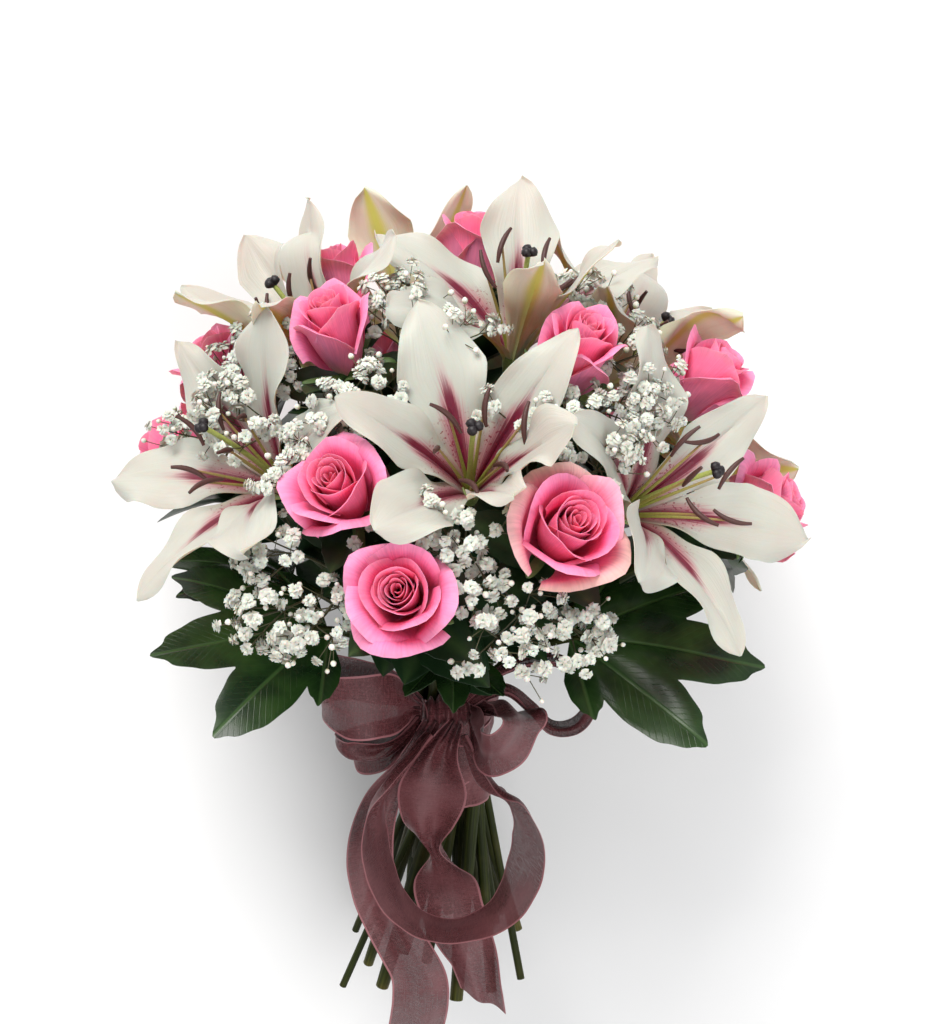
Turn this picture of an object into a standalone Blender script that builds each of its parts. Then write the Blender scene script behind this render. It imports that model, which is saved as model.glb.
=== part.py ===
"""Bridal bouquet: roses, lilies, baby's breath and lobed leaves, spirally tied with an organza ribbon.

Everything is designed in the bouquet's own frame: the tie at the origin, +Z up through the flowers and
-Y towards the front. The bouquet then lies on its back, with its front up, its head towards +Y, and its
weight on the stem ends and on the lowest flowers, which give a little where they touch the surface.
"""

import math

import bmesh
import bpy
import numpy as np
from mathutils import Matrix, Vector

# Driving dimensions, in metres and radians
GAP = 0.0003  # left between pieces that touch
FOCUS = Vector((0, 0, 0.112))  # the middle of the domed head
AIM = Vector((0, 0, 0.055))  # the flowers point away from here
SPIRAL = 19.0  # how fast the stems turn about the tie, per metre
NECK = 0.006  # the straight end of a stem, under its flower
SPLAY_HEIGHT = 0.034  # above this each stem bends towards its own flower
LIE_ANGLE = math.radians(20.5)  # how far the axis rises from the surface, stem ends to head
GIVE = 0.014  # flowers lower than this flatten towards the surface

ROSE_STEM_RADIUS = 0.0034
LILY_STEM_RADIUS = 0.0042
STALK_RADIUS = 0.0024
SPRIG_RADIUS = 0.0017

ROSE_HEIGHT = 0.054
TEPAL_LENGTH = 0.108
TEPAL_THICKNESS = 0.0010
LEAF_LENGTH = 0.125
LEAF_THICKNESS = 0.0010
CLEARANCE = 0.0045  # kept between a tepal and a rose bloom
FLORET_RADIUS = 0.0055
FORK_REACH = 0.085
RIBBON_WIDTH = 0.050
RIBBON_THICKNESS = 0.0007

# Roses: azimuth and polar angle in degrees, distance of the bloom's middle from FOCUS, bloom radius, and
# stem below the tie
ROSES = {
    "01": (-146, 27, 0.174, 0.0250, 0.131),
    "02": (-40, 28, 0.172, 0.0250, 0.125),
    "03": (-114, 54, 0.172, 0.0270, 0.135),
    "04": (-98, 69, 0.178, 0.0280, 0.155),
    "05": (-68, 59, 0.178, 0.0330, 0.160),
    "06": (84, 22, 0.178, 0.0270, 0.117),
    "07": (5, 50, 0.178, 0.0270, 0.133),
    "08": (-4, 74, 0.178, 0.0285, 0.121),
    "09": (48, 48, 0.172, 0.0265, 0.138),
    "10": (140, 33, 0.172, 0.0265, 0.127),
    "11": (170, 52, 0.170, 0.0275, 0.119),
    "12": (164, 76, 0.172, 0.0270, 0.139),
    "13": (112, 66, 0.166, 0.0270, 0.138),
    "14": (62, 70, 0.166, 0.0270, 0.150),
}

# Lilies: azimuth, polar angle and distance of the throat from FOCUS, azimuth and polar angle that the flower
# faces, spin of its first tepal
LILIES = {
    "01": (-84, 46, 0.112, -88, 39, 110),
    "02": (-150, 58, 0.112, -152, 50, 100),
    "03": (-31, 60, 0.112, -31, 56, 75),
    "04": (16, 14, 0.118, -63, 12, 68),
    "05": (167, 34, 0.114, 166, 38, 80),
    "06": (108, 40, 0.114, 106, 44, 60),
    "07": (28, 40, 0.110, 24, 49, 185),
    "08": (28, 76, 0.106, 24, 68, 60),
}
# Flowers that grow on one stem, the main one first, and how far the stem reaches below the tie
LILY_STEMS = {
    "01": (("01", "04"), 0.148),
    "02": (("02", "05"), 0.130),
    "03": (("03",), 0.158),
    "04": (("06",), 0.122),
    "05": (("08", "07"), 0.146),
}

# Leaves: azimuth, polar angle and distance from FOCUS of the blade's root, the azimuth that the blade points
# in, its tilt outwards, its roll about its midrib, size, and stalk below the tie
LEAVES = {
    "01": (-142, 101, 0.086, -154, 82, 26, 0.74, 0.128),
    "02": (-38, 101, 0.086, -10, 84, -27, 0.80, 0.165),
    "03": (-88, 97, 0.083, -88, 98, 0, 0.36, 0.146),
    "04": (178, 99.5, 0.092, 178, 75, 0, 0.58, 0.133),
    "05": (64, 118, 0.076, 64, 80, 0, 0.64, 0.146),
}

# Baby's breath: for each sprig, azimuth and polar angle of its fork, then azimuth, polar angle and
# distance from FOCUS of each cluster, and stalk below the tie
SPRIGS = {
    "01": ((-176, 65), ((-176, 61, 0.192), (-169, 45, 0.192), (-167, 38, 0.190)), 0.100),
    "02": ((-126, 78), ((-126, 79, 0.190), (-125, 67, 0.192), (-118, 80, 0.188)), 0.096),
    "03": ((-80, 77), ((-80, 78, 0.190), (-87, 60, 0.192), (-64, 78, 0.188)), 0.104),
    "04": ((-51, 46), ((-55, 40, 0.192), (-37, 42, 0.194)), 0.092),
    "05": ((-118, 12), ((-150, 15, 0.190), (-124, 38, 0.192), (-4, 32, 0.192)), 0.108),
}


def direction(azimuth, polar):
    """The unit vector at an azimuth and a polar angle from +Z, both in degrees."""
    a, p = math.radians(azimuth), math.radians(polar)
    return Vector((math.sin(p) * math.cos(a), math.sin(p) * math.sin(a), math.cos(p)))


def on_dome(azimuth, polar, reach):
    return FOCUS + reach * direction(azimuth, polar)


def facing(axis, spin=0.0):
    """A rotation that turns +Z to axis and +X sideways, then spins it about the axis by degrees."""
    side = Vector((0, 0, 1)).cross(axis)
    side = side.normalized() if side.length > 1e-6 else Vector((1, 0, 0))
    up = axis.cross(side)
    frame = Matrix((side, up, axis)).transposed()
    return frame @ Matrix.Rotation(math.radians(spin), 3, "Z")


def smooth(x):
    x = min(max(x, 0.0), 1.0)
    return x * x * (3 - 2 * x)


# Materials


def material(name, colour, roughness):
    mat = bpy.data.materials.new(name)
    mat.use_nodes = True
    shader = mat.node_tree.nodes["Principled BSDF"]
    shader.inputs["Base Color"].default_value = (*colour, 1)
    shader.inputs["Roughness"].default_value = roughness
    shader.inputs["Metallic"].default_value = 0
    return mat


# Mesh building


def make_object(name, points, faces, mat):
    """A mesh object from points and faces, with its faces turned outwards."""
    mesh = bpy.data.meshes.new(name)
    mesh.from_pydata([tuple(p) for p in points], [], faces)
    shell = bmesh.new()
    shell.from_mesh(mesh)
    bmesh.ops.recalc_face_normals(shell, faces=shell.faces)
    shell.to_mesh(mesh)
    shell.free()
    mesh.shade_smooth()
    mesh.set_sharp_from_angle(angle=math.radians(50))
    mesh.materials.append(mat)
    obj = bpy.data.objects.new(name, mesh)
    bpy.context.scene.collection.objects.link(obj)
    return obj


def spline_points(route, count):
    """Points at even steps along a smooth curve through the route's points."""
    route = [Vector(p) for p in route]
    ends = [2 * route[0] - route[1], *route, 2 * route[-1] - route[-2]]
    fine = []
    for i in range(1, len(ends) - 2):
        a, b, c, d = ends[i - 1 : i + 3]
        for step in range(16):
            t = step / 16
            fine.append(
                0.5
                * (2 * b + (c - a) * t + (2 * a - 5 * b + 4 * c - d) * t * t + (3 * b - a - 3 * c + d) * t**3)
            )
    fine.append(route[-1])
    lengths = np.cumsum([0] + [(q - p).length for p, q in zip(fine, fine[1:])])
    wanted = np.linspace(0, lengths[-1], count)
    return [Vector([float(np.interp(w, lengths, [p[k] for p in fine])) for k in range(3)]) for w in wanted]


def hermite(start, start_pull, end, end_pull, count):
    """Points on a cubic from start to end that leaves along start_pull and arrives along end_pull."""
    points = []
    for step in range(1, count + 1):
        t = step / count
        a, b = 2 * t**3 - 3 * t**2 + 1, t**3 - 2 * t**2 + t
        c, d = 3 * t**2 - 2 * t**3, t**3 - t**2
        points.append(a * start + b * start_pull + c * end + d * end_pull)
    return points


def tube(points, radii, sides):
    """Points and faces of a closed tube along a path, one radius to a path point."""
    count = len(points)
    tangents = [(points[min(i + 1, count - 1)] - points[max(i - 1, 0)]).normalized() for i in range(count)]
    side = tangents[0].orthogonal().normalized()
    verts, faces = [], []
    for point, tangent, radius in zip(points, tangents, radii):
        side = (side - side.dot(tangent) * tangent).normalized()
        other = tangent.cross(side)
        for k in range(sides):
            angle = 2 * math.pi * k / sides
            verts.append(point + radius * (math.cos(angle) * side + math.sin(angle) * other))
    for i in range(count - 1):
        for k in range(sides):
            a, b = i * sides + k, i * sides + (k + 1) % sides
            faces.append((a, b, b + sides, a + sides))
    faces.append(tuple(range(sides)))
    faces.append(tuple((count - 1) * sides + k for k in range(sides)))
    return verts, faces


def join_shapes(shapes):
    """One list of points and faces from several."""
    verts, faces = [], []
    for more_verts, more_faces in shapes:
        start = len(verts)
        verts += more_verts
        faces += [tuple(start + v for v in face) for face in more_faces]
    return verts, faces


def united(name, first, others, mat):
    """One closed body from shapes that run into each other."""
    obj = make_object(name, *first, mat)
    if not others:
        return obj
    cutter = make_object(name + "_add", *join_shapes(others), mat)
    cutter.hide_render = True
    cutter.display_type = "WIRE"
    union = obj.modifiers.new("Union", "BOOLEAN")
    union.operation = "UNION"
    union.use_self = True
    union.object = cutter
    return obj


def slab(rows, thickness):
    """A closed sheet of even thickness around a grid of middle points, rows of one length."""
    count, across = len(rows), len(rows[0])
    top, bottom = [], []
    for i in range(count):
        for j in range(across):
            along = rows[min(i + 1, count - 1)][j] - rows[max(i - 1, 0)][j]
            aside = rows[i][min(j + 1, across - 1)] - rows[i][max(j - 1, 0)]
            normal = along.cross(aside).normalized() * (thickness / 2)
            top.append(rows[i][j] + normal)
            bottom.append(rows[i][j] - normal)
    size = count * across
    faces = []
    for i in range(count - 1):
        for j in range(across - 1):
            a = i * across + j
            faces.append((a, a + 1, a + across + 1, a + across))
            faces.append((a + size, a + across + size, a + across + 1 + size, a + 1 + size))
    edge = [j for j in range(across)]
    edge += [i * across + across - 1 for i in range(1, count)]
    edge += [(count - 1) * across + j for j in range(across - 2, -1, -1)]
    edge += [i * across for i in range(count - 2, 0, -1)]
    for a, b in zip(edge, edge[1:] + edge[:1]):
        faces.append((a, b, b + size, a + size))
    return top + bottom, faces


# Where the stems pass the tie


def gather(stems):
    """Packs the stems round the axis at the tie. Each is a radius and the point that it climbs to."""
    turn = math.radians(-42)  # the spiral brings each stem round by this much before its flower
    radii = np.array([radius for radius, _ in stems])
    places = []
    for _, target in stems:
        outward = target - FOCUS
        polar = math.atan2(math.hypot(outward.x, outward.y), outward.z)
        azimuth = math.atan2(outward.y, outward.x) + turn
        places.append(complex(math.cos(azimuth), math.sin(azimuth)) * 0.034 * polar)
    places = np.array(places)
    apart = (radii[:, None] + radii[None, :] + GAP) * 1.07
    np.fill_diagonal(apart, 0)
    pulls, settles = 900, 300
    for step in range(pulls + settles):
        if step < pulls:
            places *= 0.994
        for _ in range(6):
            offset = places[:, None] - places[None, :]
            distance = np.abs(offset) + np.eye(len(radii))
            push = np.maximum(apart - distance, 0) * 0.26
            places = places + (offset / distance * push).sum(axis=1)
    return [complex(p) for p in places]


def spiral(waist, z):
    """Where a stem that passes the tie at waist is at height z."""
    at = waist * (1 + 1j * SPIRAL * z)
    return Vector((at.real, at.imag, z))


def stem_path(waist, below, seat, axis, count=6):
    """A straight stretch through the tie, then a bend that arrives at the seat along the flower's axis."""
    low, splay = spiral(waist, -below), spiral(waist, SPLAY_HEIGHT)
    leaving = (splay - low).normalized()
    neck = seat - axis * NECK
    reach = (neck - splay).length
    bend = hermite(splay, leaving * reach * 0.7, neck, axis * reach * 0.8, count)
    return [low, spiral(waist, 0), splay, *bend, seat]


# Flowers and leaves


def rose_bloom(name, centre, axis, radius, mat):
    """An open rose, a turned bud whose outline is gently lobed by its petals."""
    profile = [
        (0.16, 0.00),
        (0.45, 0.08),
        (0.78, 0.28),
        (0.94, 0.55),
        (1.00, 0.82),
        (0.90, 0.96),
        (0.55, 0.94),
        (0.20, 0.96),
    ]
    sides = 12
    turn = facing(axis, spin=centre.x * 4000)
    base = centre - axis * ROSE_HEIGHT * 0.56
    verts, faces = [], []
    for share, height in profile:
        lobes = 0.045 * smooth((height - 0.4) / 0.4)
        for k in range(sides):
            angle = 2 * math.pi * k / sides
            r = radius * share * (1 + lobes * math.cos(5 * angle))
            local = Vector((r * math.cos(angle), r * math.sin(angle), ROSE_HEIGHT * height))
            verts.append(base + turn @ local)
    for i in range(len(profile) - 1):
        for k in range(sides):
            a, b = i * sides + k, i * sides + (k + 1) % sides
            faces.append((a, b, b + sides, a + sides))
    faces.append(tuple(range(sides)))
    faces.append(tuple((len(profile) - 1) * sides + k for k in range(sides)))
    return make_object(name, verts, faces, mat)


def tepal_rows(length, width, opening, curl):
    """The middle surface of one tepal: it rises from the throat, opens outwards and curls at its tip."""
    steps, across = 6, 3
    rho, z = 0.0015, 0.004
    stride = length / steps
    rows = []
    for i in range(steps + 1):
        t = i / steps
        shape = max(math.sin(math.pi * t**0.8), 0.05) ** 0.8
        half = min(0.5 * width * shape, 0.0015 + 0.45 * rho)
        lean = math.radians(18 + (opening - 18) * (1 - math.exp(-4.5 * t)) + curl * t**3)
        cup = half * 0.4 * (1 - t)
        row = []
        for j in range(across):
            s = 2 * j / (across - 1) - 1
            lift = cup * s * s
            row.append(Vector((rho - lift * math.cos(lean), s * half, z + lift * math.sin(lean))))
        rows.append(row)
        rho += stride * math.sin(lean)
        z += stride * math.cos(lean)
    return rows


def crowding(point, bloom):
    """How far inside a rose bloom's rounded outline a point is: 1 or more is clear of it."""
    centre, axis, radius = bloom
    offset = point - centre
    up = offset.dot(axis)
    aside = (offset - up * axis).length
    wide, tall = radius + CLEARANCE, ROSE_HEIGHT / 2 + CLEARANCE
    return ((aside / wide) ** 4 + (up / tall) ** 4) ** 0.25


def kept_clear(point, blooms):
    """The point, moved out of any rose bloom that it would lie in."""
    for bloom in blooms:
        depth = crowding(point, bloom)
        if 0 < depth < 1:
            point = bloom[0] + (point - bloom[0]) / depth
    return point


def open_tepal(placed, width, opening, blooms):
    """The rows of a tepal that opens as far as the roses round it leave room for."""
    best, most_room = None, -1
    for share in (1.0, 0.88, 0.76, 0.64, 0.52, 0.4, 1.15, 1.3):
        rows = tepal_rows(TEPAL_LENGTH, width, opening * share, 22 * share)
        rows = [[placed(point) for point in row] for row in rows]
        room = min(crowding(point, bloom) for row in rows for point in row for bloom in blooms)
        if room >= 1:
            return rows
        if room > most_room:
            best, most_room = rows, room
    return [[kept_clear(point, blooms) for point in row] for row in best]


def lily_bloom(name, throat, axis, spin, blooms, mat):
    """A lily: a throat that carries three broad and three narrow tepals, with a pistil in the middle."""
    turn = facing(axis, spin)

    def placed(local):
        return throat + turn @ local

    neck = [(0.0042, 0.0), (0.0052, 0.006), (0.0064, 0.013)]
    foot = tube([placed(Vector((0, 0, z))) for _, z in neck], [r for r, _ in neck], 9)
    parts = []
    for tepal in range(6):
        broad = tepal % 2 == 0
        width, opening = (0.040, 60) if broad else (0.028, 66)
        phase = Matrix.Rotation(math.radians(60 * tepal), 3, "Z")
        rows = open_tepal(lambda point, phase=phase: placed(phase @ point), width, opening, blooms)
        parts.append(slab(rows, TEPAL_THICKNESS))
    pistil = [placed(Vector((0, 0, z))) for z in (0.008, 0.074, 0.075, 0.079)]
    parts.append(tube(pistil, [0.0013, 0.0013, 0.0034, 0.0026], 6))
    return united(name, foot, parts, mat)


def leaf(name, root, outward, tilt, roll, size, waist, below, mat):
    """A lobed leaf on its stalk. The blade fans from its root in five broad lobes and droops outwards."""
    lobes = {0: 1.0, 36: 0.92, 68: 0.42}
    step, notch = 8.5, 0.62
    lengths = []
    for k in range(-10, 11):
        angle = abs(k * step)
        best = 0.30
        for middle, reach in lobes.items():
            near = max(0, 1 - abs(angle - middle) / (2.2 * step))
            best = max(best, reach * (notch + (1 - notch) * near**0.6) if near else 0)
        lengths.append(best * LEAF_LENGTH * size)
    level = Vector((0, 0, 1)).cross(outward).normalized()
    flat = outward * math.sin(math.radians(tilt)) + Vector((0, 0, math.cos(math.radians(tilt))))
    sideways = level * math.cos(math.radians(roll)) - flat.cross(level) * math.sin(math.radians(roll))
    normal = flat.cross(sideways)
    rows = []
    for k, length in zip(range(-10, 11), lengths):
        angle = math.radians(k * step)
        row = []
        for share in (0.05, 0.45, 1.0):
            r = length * share
            droop = 0.5 * r * r / (LEAF_LENGTH * 2)
            row.append(root + flat * r * math.cos(angle) + sideways * r * math.sin(angle) - normal * droop)
        rows.append(row)
    blade = slab(rows, LEAF_THICKNESS)
    path = stem_path(waist, below, root + flat * 0.012, flat, count=5)
    radii = [STALK_RADIUS] * (len(path) - 1) + [STALK_RADIUS * 0.7]
    return united(name, tube(path, radii, 6), [blade], mat)


def head_of_florets(centre, radius):
    """An eight-sided ball, the space that a cluster of tiny flowers fills."""
    verts = [centre + radius * Vector(d) for d in ((1, 0, 0), (0, 1, 0), (-1, 0, 0), (0, -1, 0))]
    verts += [centre + Vector((0, 0, radius)), centre - Vector((0, 0, radius))]
    faces = []
    for k in range(4):
        n = (k + 1) % 4
        faces += [(k, n, 4), (n, k, 5)]
    return verts, faces


def sprig(name, fork, clusters, waist, below, mat):
    """Baby's breath: a stalk that forks to clusters of florets on fine twigs."""
    path = stem_path(waist, below, fork, (fork - AIM).normalized(), count=4)
    parts = []
    for azimuth, polar, reach in clusters:
        out = direction(azimuth, polar)
        aside = facing(out)
        heart = FOCUS + out * (reach - 0.03)
        twig = hermite(path[-2], (path[-1] - path[-2]) * 2, heart, out * 0.04, 4)
        parts.append(tube([path[-2], *twig], [0.0010] * 5, 4))
        for k in range(3):
            angle = math.radians(120 * k + azimuth)
            spread = aside @ Vector((math.cos(angle), math.sin(angle), 0)) * 0.011
            head = FOCUS + out * (reach - 0.005 * k) + spread
            parts.append(tube([heart - out * 0.003, head], [0.0007, 0.0007], 4))
            parts.append(head_of_florets(head, FLORET_RADIUS))
    return united(name, tube(path, [SPRIG_RADIUS] * len(path), 6), parts, mat)


# Ribbon


def ribbon_strip(route, count):
    """A closed strip. Each stop is a point, the direction of the width there, and the width's share."""
    middles = spline_points([point for point, _, _ in route], count)
    at = np.linspace(0, len(route) - 1, count)
    rows = []
    for middle, place in zip(middles, at):
        i = min(int(place), len(route) - 2)
        t = place - i
        across = (Vector(route[i][1]).lerp(Vector(route[i + 1][1]), t)).normalized()
        share = route[i][2] * (1 - t) + route[i + 1][2] * t
        half = across * RIBBON_WIDTH * share / 2
        rows.append([middle - half, middle, middle + half])
    return slab(rows, RIBBON_THICKNESS)


def ribbon(name, route, count, mat):
    return make_object(name, *ribbon_strip(route, count), mat)


def ribbon_band(waists, radii, mat):
    """The ribbon wound round the stems, which follows the outline of the bundle, and its knot in front."""
    sides, levels = 24, (-0.036, -0.018, 0.000, 0.018, 0.036)
    verts, faces = [], []
    for layer in (2 * GAP, 2 * GAP + 2 * RIBBON_THICKNESS):
        for z in levels:
            for k in range(sides):
                angle = 2 * math.pi * k / sides
                ray = complex(math.cos(angle), math.sin(angle))
                support = max((w * ray.conjugate()).real + r * 1.11 for w, r in zip(waists, radii))
                at = spiral(ray * (support / math.cos(math.pi / sides) + layer), z)
                verts.append(at)
    size = sides * len(levels)
    for k in range(sides):
        n = (k + 1) % sides
        for i in range(len(levels) - 1):
            a, b = i * sides + k, i * sides + n
            faces.append((a, b, b + sides, a + sides))
            faces.append((a + size, a + sides + size, b + sides + size, b + size))
        top = (len(levels) - 1) * sides
        faces.append((k, k + size, n + size, n))
        faces.append((top + k, top + n, top + n + size, top + k + size))
    ends = [Vector((x, -0.0345, 0.037 + 0.1 * x)) for x in (-0.014, -0.008, 0.008, 0.014)]
    knot = tube(ends, [0.005, 0.0085, 0.0085, 0.005], 8)
    return united("ribbon_band", (verts, faces), [knot], mat)


# Routes of the ribbon: each stop is a point, the direction of the width there, and the width's share
BOW_LEFT = [
    ((-0.0150, -0.0388, 0.0410), (0, -0.30, 1), 0.16),
    ((-0.0320, -0.0670, 0.0570), (-0.1, -0.15, 1), 0.68),
    ((-0.0520, -0.0765, 0.0600), (-0.15, 0, 1), 0.80),
    ((-0.0700, -0.0705, 0.0640), (-0.2, -0.30, 1), 0.78),
    ((-0.0650, -0.0590, 0.0690), (-0.2, -0.30, 1), 0.70),
    ((-0.0400, -0.0520, 0.0620), (-0.1, -0.30, 1), 0.50),
    ((-0.0150, -0.0312, 0.0400), (0, -0.30, 1), 0.16),
]
BOW_LEFT_LOW = [
    ((-0.0150, -0.0365, 0.0315), (-0.1, -0.30, 1), 0.10),
    ((-0.0250, -0.0520, 0.0245), (-0.4, -0.35, 1), 0.15),
    ((-0.0360, -0.0620, 0.0205), (-0.6, -0.35, 1), 0.36),
    ((-0.0500, -0.0640, 0.0210), (-0.7, -0.35, 1), 0.50),
    ((-0.0560, -0.0580, 0.0255), (-0.7, -0.30, 1), 0.50),
    ((-0.0450, -0.0540, 0.0265), (-0.6, -0.30, 1), 0.34),
    ((-0.0150, -0.0336, 0.0320), (-0.1, -0.30, 1), 0.10),
]
BOW_RIGHT = [
    ((0.0150, -0.0372, 0.0390), (0, -0.30, 1), 0.20),
    ((0.0180, -0.0640, 0.0390), (0.1, -0.35, 1), 0.50),
    ((0.0235, -0.0790, 0.0370), (0, -0.35, 1), 0.72),
    ((0.0345, -0.0830, 0.0430), (-0.45, -0.50, 0.75), 0.74),
    ((0.0425, -0.0770, 0.0560), (-0.6, -0.80, 0.2), 0.70),
    ((0.0380, -0.0645, 0.0570), (-0.6, -0.50, 0.6), 0.48),
    ((0.0285, -0.0480, 0.0465), (-0.2, -0.50, 0.8), 0.32),
    ((0.0150, -0.0310, 0.0385), (0, -0.30, 1), 0.18),
]
SIDE_LOOP = [
    ((0.0100, -0.0365, 0.0462), (0.1, -1, 0.2), 0.12),
    ((0.0240, -0.0465, 0.0670), (0.1, -1, 0.2), 0.16),
    ((0.0440, -0.0520, 0.0800), (0, -1, 0.2), 0.26),
    ((0.0610, -0.0540, 0.0820), (0, -1, 0.2), 0.34),
    ((0.0755, -0.0550, 0.0720), (0, -1, 0.2), 0.40),
    ((0.0800, -0.0550, 0.0560), (0, -1, 0.2), 0.40),
    ((0.0725, -0.0540, 0.0420), (0, -1, 0.2), 0.38),
    ((0.0590, -0.0520, 0.0395), (0, -1, 0.2), 0.32),
    ((0.0480, -0.0490, 0.0490), (0, -1, 0.2), 0.24),
    ((0.0320, -0.0470, 0.0590), (0.1, -1, 0.2), 0.14),
    ((0.0142, -0.0365, 0.0442), (0.1, -1, 0.2), 0.10),
]
HANGING_LOOP = [
    ((0.0106, -0.0495, 0.0300), (0.2, -1, 0.1), 0.15),
    ((0.0230, -0.0650, 0.0100), (0.4, -0.8, 0.3), 0.44),
    ((0.0400, -0.0800, 0.0060), (0.46, -0.85, 0.15), 0.66),
    ((0.0490, -0.0890, -0.0120), (0.45, -0.88, 0.1), 0.80),
    ((0.0455, -0.0920, -0.0365), (0.38, -0.9, 0.1), 0.80),
    ((0.0325, -0.0930, -0.0600), (0.2, -0.95, 0.2), 0.80),
    ((0.0105, -0.0930, -0.0715), (0, -1, 0.26), 0.80),
    ((-0.0105, -0.0920, -0.0675), (-0.1, -1, 0.22), 0.80),
    ((-0.0270, -0.0890, -0.0505), (-0.25, -0.94, 0.1), 0.80),
    ((-0.0355, -0.0860, -0.0245), (-0.32, -0.94, 0.1), 0.80),
    ((-0.0365, -0.0830, 0.0020), (-0.32, -0.94, 0.1), 0.68),
    ((-0.0270, -0.0755, 0.0170), (-0.2, -0.9, 0.2), 0.40),
    ((-0.0080, -0.0495, 0.0295), (0, -1, 0.1), 0.20),
]
TAIL_LEFT = [
    ((-0.0066, -0.0432, 0.0350), (0.9, 0, 0.2), 0.22),
    ((-0.0190, -0.0440, 0.0080), (0.9, 0, 0.2), 0.30),
    ((-0.0345, -0.0490, -0.0155), (0.9, 0, 0.2), 0.42),
    ((-0.0400, -0.0560, -0.0445), (0.9, -0.1, 0.3), 0.52),
    ((-0.0355, -0.0620, -0.0710), (0.9, -0.2, 0.3), 0.56),
    ((-0.0225, -0.0680, -0.0960), (0.9, -0.2, 0.3), 0.62),
    ((-0.0100, -0.0710, -0.1190), (1, -0.2, 0.2), 0.66),
    ((-0.0080, -0.0700, -0.1400), (1, -0.1, 0), 0.66),
    ((-0.0110, -0.0590, -0.1750), (1, 0, 0), 0.66),
]
TAIL_RIGHT = [
    ((0.0060, -0.0432, 0.0350), (0.9, 0, -0.1), 0.16),
    ((-0.0020, -0.0530, 0.0200), (1, 0, -0.1), 0.42),
    ((-0.0055, -0.0600, -0.0020), (1, -0.1, 0), 0.78),
    ((-0.0070, -0.0610, -0.0270), (1, -0.1, 0.1), 0.60),
    ((0.0000, -0.0580, -0.0480), (0.5, -0.6, 0.6), 0.24),
    ((0.0050, -0.0580, -0.0700), (1, -0.1, 0.3), 0.72),
    ((0.0120, -0.0600, -0.0905), (1, 0, 0.3), 0.74),
    ((0.0205, -0.0640, -0.1085), (1, 0, 0.2), 0.66),
    ((0.0253, -0.0660, -0.1260), (1, 0, 0), 0.54),
    ((0.0290, -0.0660, -0.1400), (1, 0.1, 0), 0.44),
]


# The whole bouquet


def build_bouquet():
    """Every piece in the bouquet's own frame. Returns the soft ones, which give where they rest."""
    pink = material("rose_pink", (0.80, 0.16, 0.31), 0.55)
    white = material("lily_white", (0.80, 0.76, 0.70), 0.5)
    leaf_green = material("leaf_green", (0.02, 0.09, 0.02), 0.35)
    stem_green = material("stem_green", (0.06, 0.11, 0.03), 0.5)
    sprig_white = material("breath_white", (0.85, 0.84, 0.78), 0.7)
    mauve = material("ribbon_mauve", (0.20, 0.07, 0.08), 0.5)

    roses = {}
    for key, (azimuth, polar, reach, radius, _) in ROSES.items():
        centre = on_dome(azimuth, polar, reach)
        roses[key] = (centre, (centre - AIM).normalized(), radius)
    throats = {}
    for key, (azimuth, polar, reach, face_azimuth, face_polar, _) in LILIES.items():
        throats[key] = (on_dome(azimuth, polar, reach), direction(face_azimuth, face_polar))
    roots = {key: on_dome(a, p, reach) for key, (a, p, reach, *_) in LEAVES.items()}

    climbing = [(ROSE_STEM_RADIUS, centre) for centre, _, _ in roses.values()]
    climbing += [(LILY_STEM_RADIUS, throats[keys[0]][0]) for keys, _ in LILY_STEMS.values()]
    climbing += [(STALK_RADIUS, root) for root in roots.values()]
    forks = {key: on_dome(*fork, FORK_REACH) for key, (fork, _, _) in SPRIGS.items()}
    climbing += [(SPRIG_RADIUS, fork) for fork in forks.values()]
    waists = gather(climbing)
    at_waist = iter(waists)

    soft = []
    blooms = list(roses.values())
    for key, (centre, axis, radius) in roses.items():
        soft.append(rose_bloom(f"rose_bloom_{key}", centre, axis, radius, pink))
        seat = centre - axis * (ROSE_HEIGHT * 0.56 + GAP)
        path = stem_path(next(at_waist), ROSES[key][4], seat, axis)
        make_object(f"rose_stem_{key}", *tube(path, [ROSE_STEM_RADIUS] * len(path), 6), stem_green)

    for key, (throat, axis) in throats.items():
        soft.append(lily_bloom(f"lily_bloom_{key}", throat, axis, LILIES[key][5], blooms, white))
    for key, (flowers, below) in LILY_STEMS.items():
        throat, axis = throats[flowers[0]]
        path = stem_path(next(at_waist), below, throat - axis * GAP, axis)
        main = tube(path, [LILY_STEM_RADIUS] * (len(path) - 2) + [0.0036, 0.0036], 8)
        side_stems = []
        for flower in flowers[1:]:
            throat, axis = throats[flower]
            start, leaving = path[3], (path[4] - path[3]).normalized()
            reach = (throat - start).length
            neck = throat - axis * NECK
            fork = hermite(start, leaving * reach * 0.5, neck, axis * reach * 0.7, 5)
            side_stems.append(tube([start, *fork, throat - axis * GAP], [0.0030] + [0.0034] * 6, 7))
        united(f"lily_stem_{key}", main, side_stems, stem_green)

    for key, (_, _, _, azimuth, tilt, roll, size, below) in LEAVES.items():
        outward = direction(azimuth, 90)
        waist = next(at_waist)
        soft.append(leaf(f"leaf_{key}", roots[key], outward, tilt, roll, size, waist, below, leaf_green))
    for key, (_, clusters, below) in SPRIGS.items():
        soft.append(sprig(f"breath_sprig_{key}", forks[key], clusters, next(at_waist), below, sprig_white))

    ribbon_band(waists, [radius for radius, _ in climbing], mauve)
    ribbon("ribbon_bow_left", BOW_LEFT, 18, mauve)
    ribbon("ribbon_bow_left_low", BOW_LEFT_LOW, 16, mauve)
    ribbon("ribbon_bow_right", BOW_RIGHT, 16, mauve)
    ribbon("ribbon_side_loop", SIDE_LOOP, 22, mauve)
    ribbon("ribbon_hanging_loop", HANGING_LOOP, 30, mauve)
    ribbon("ribbon_tail_left", TAIL_LEFT, 16, mauve)
    ribbon("ribbon_tail_right", TAIL_RIGHT, 14, mauve)
    return soft


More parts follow.
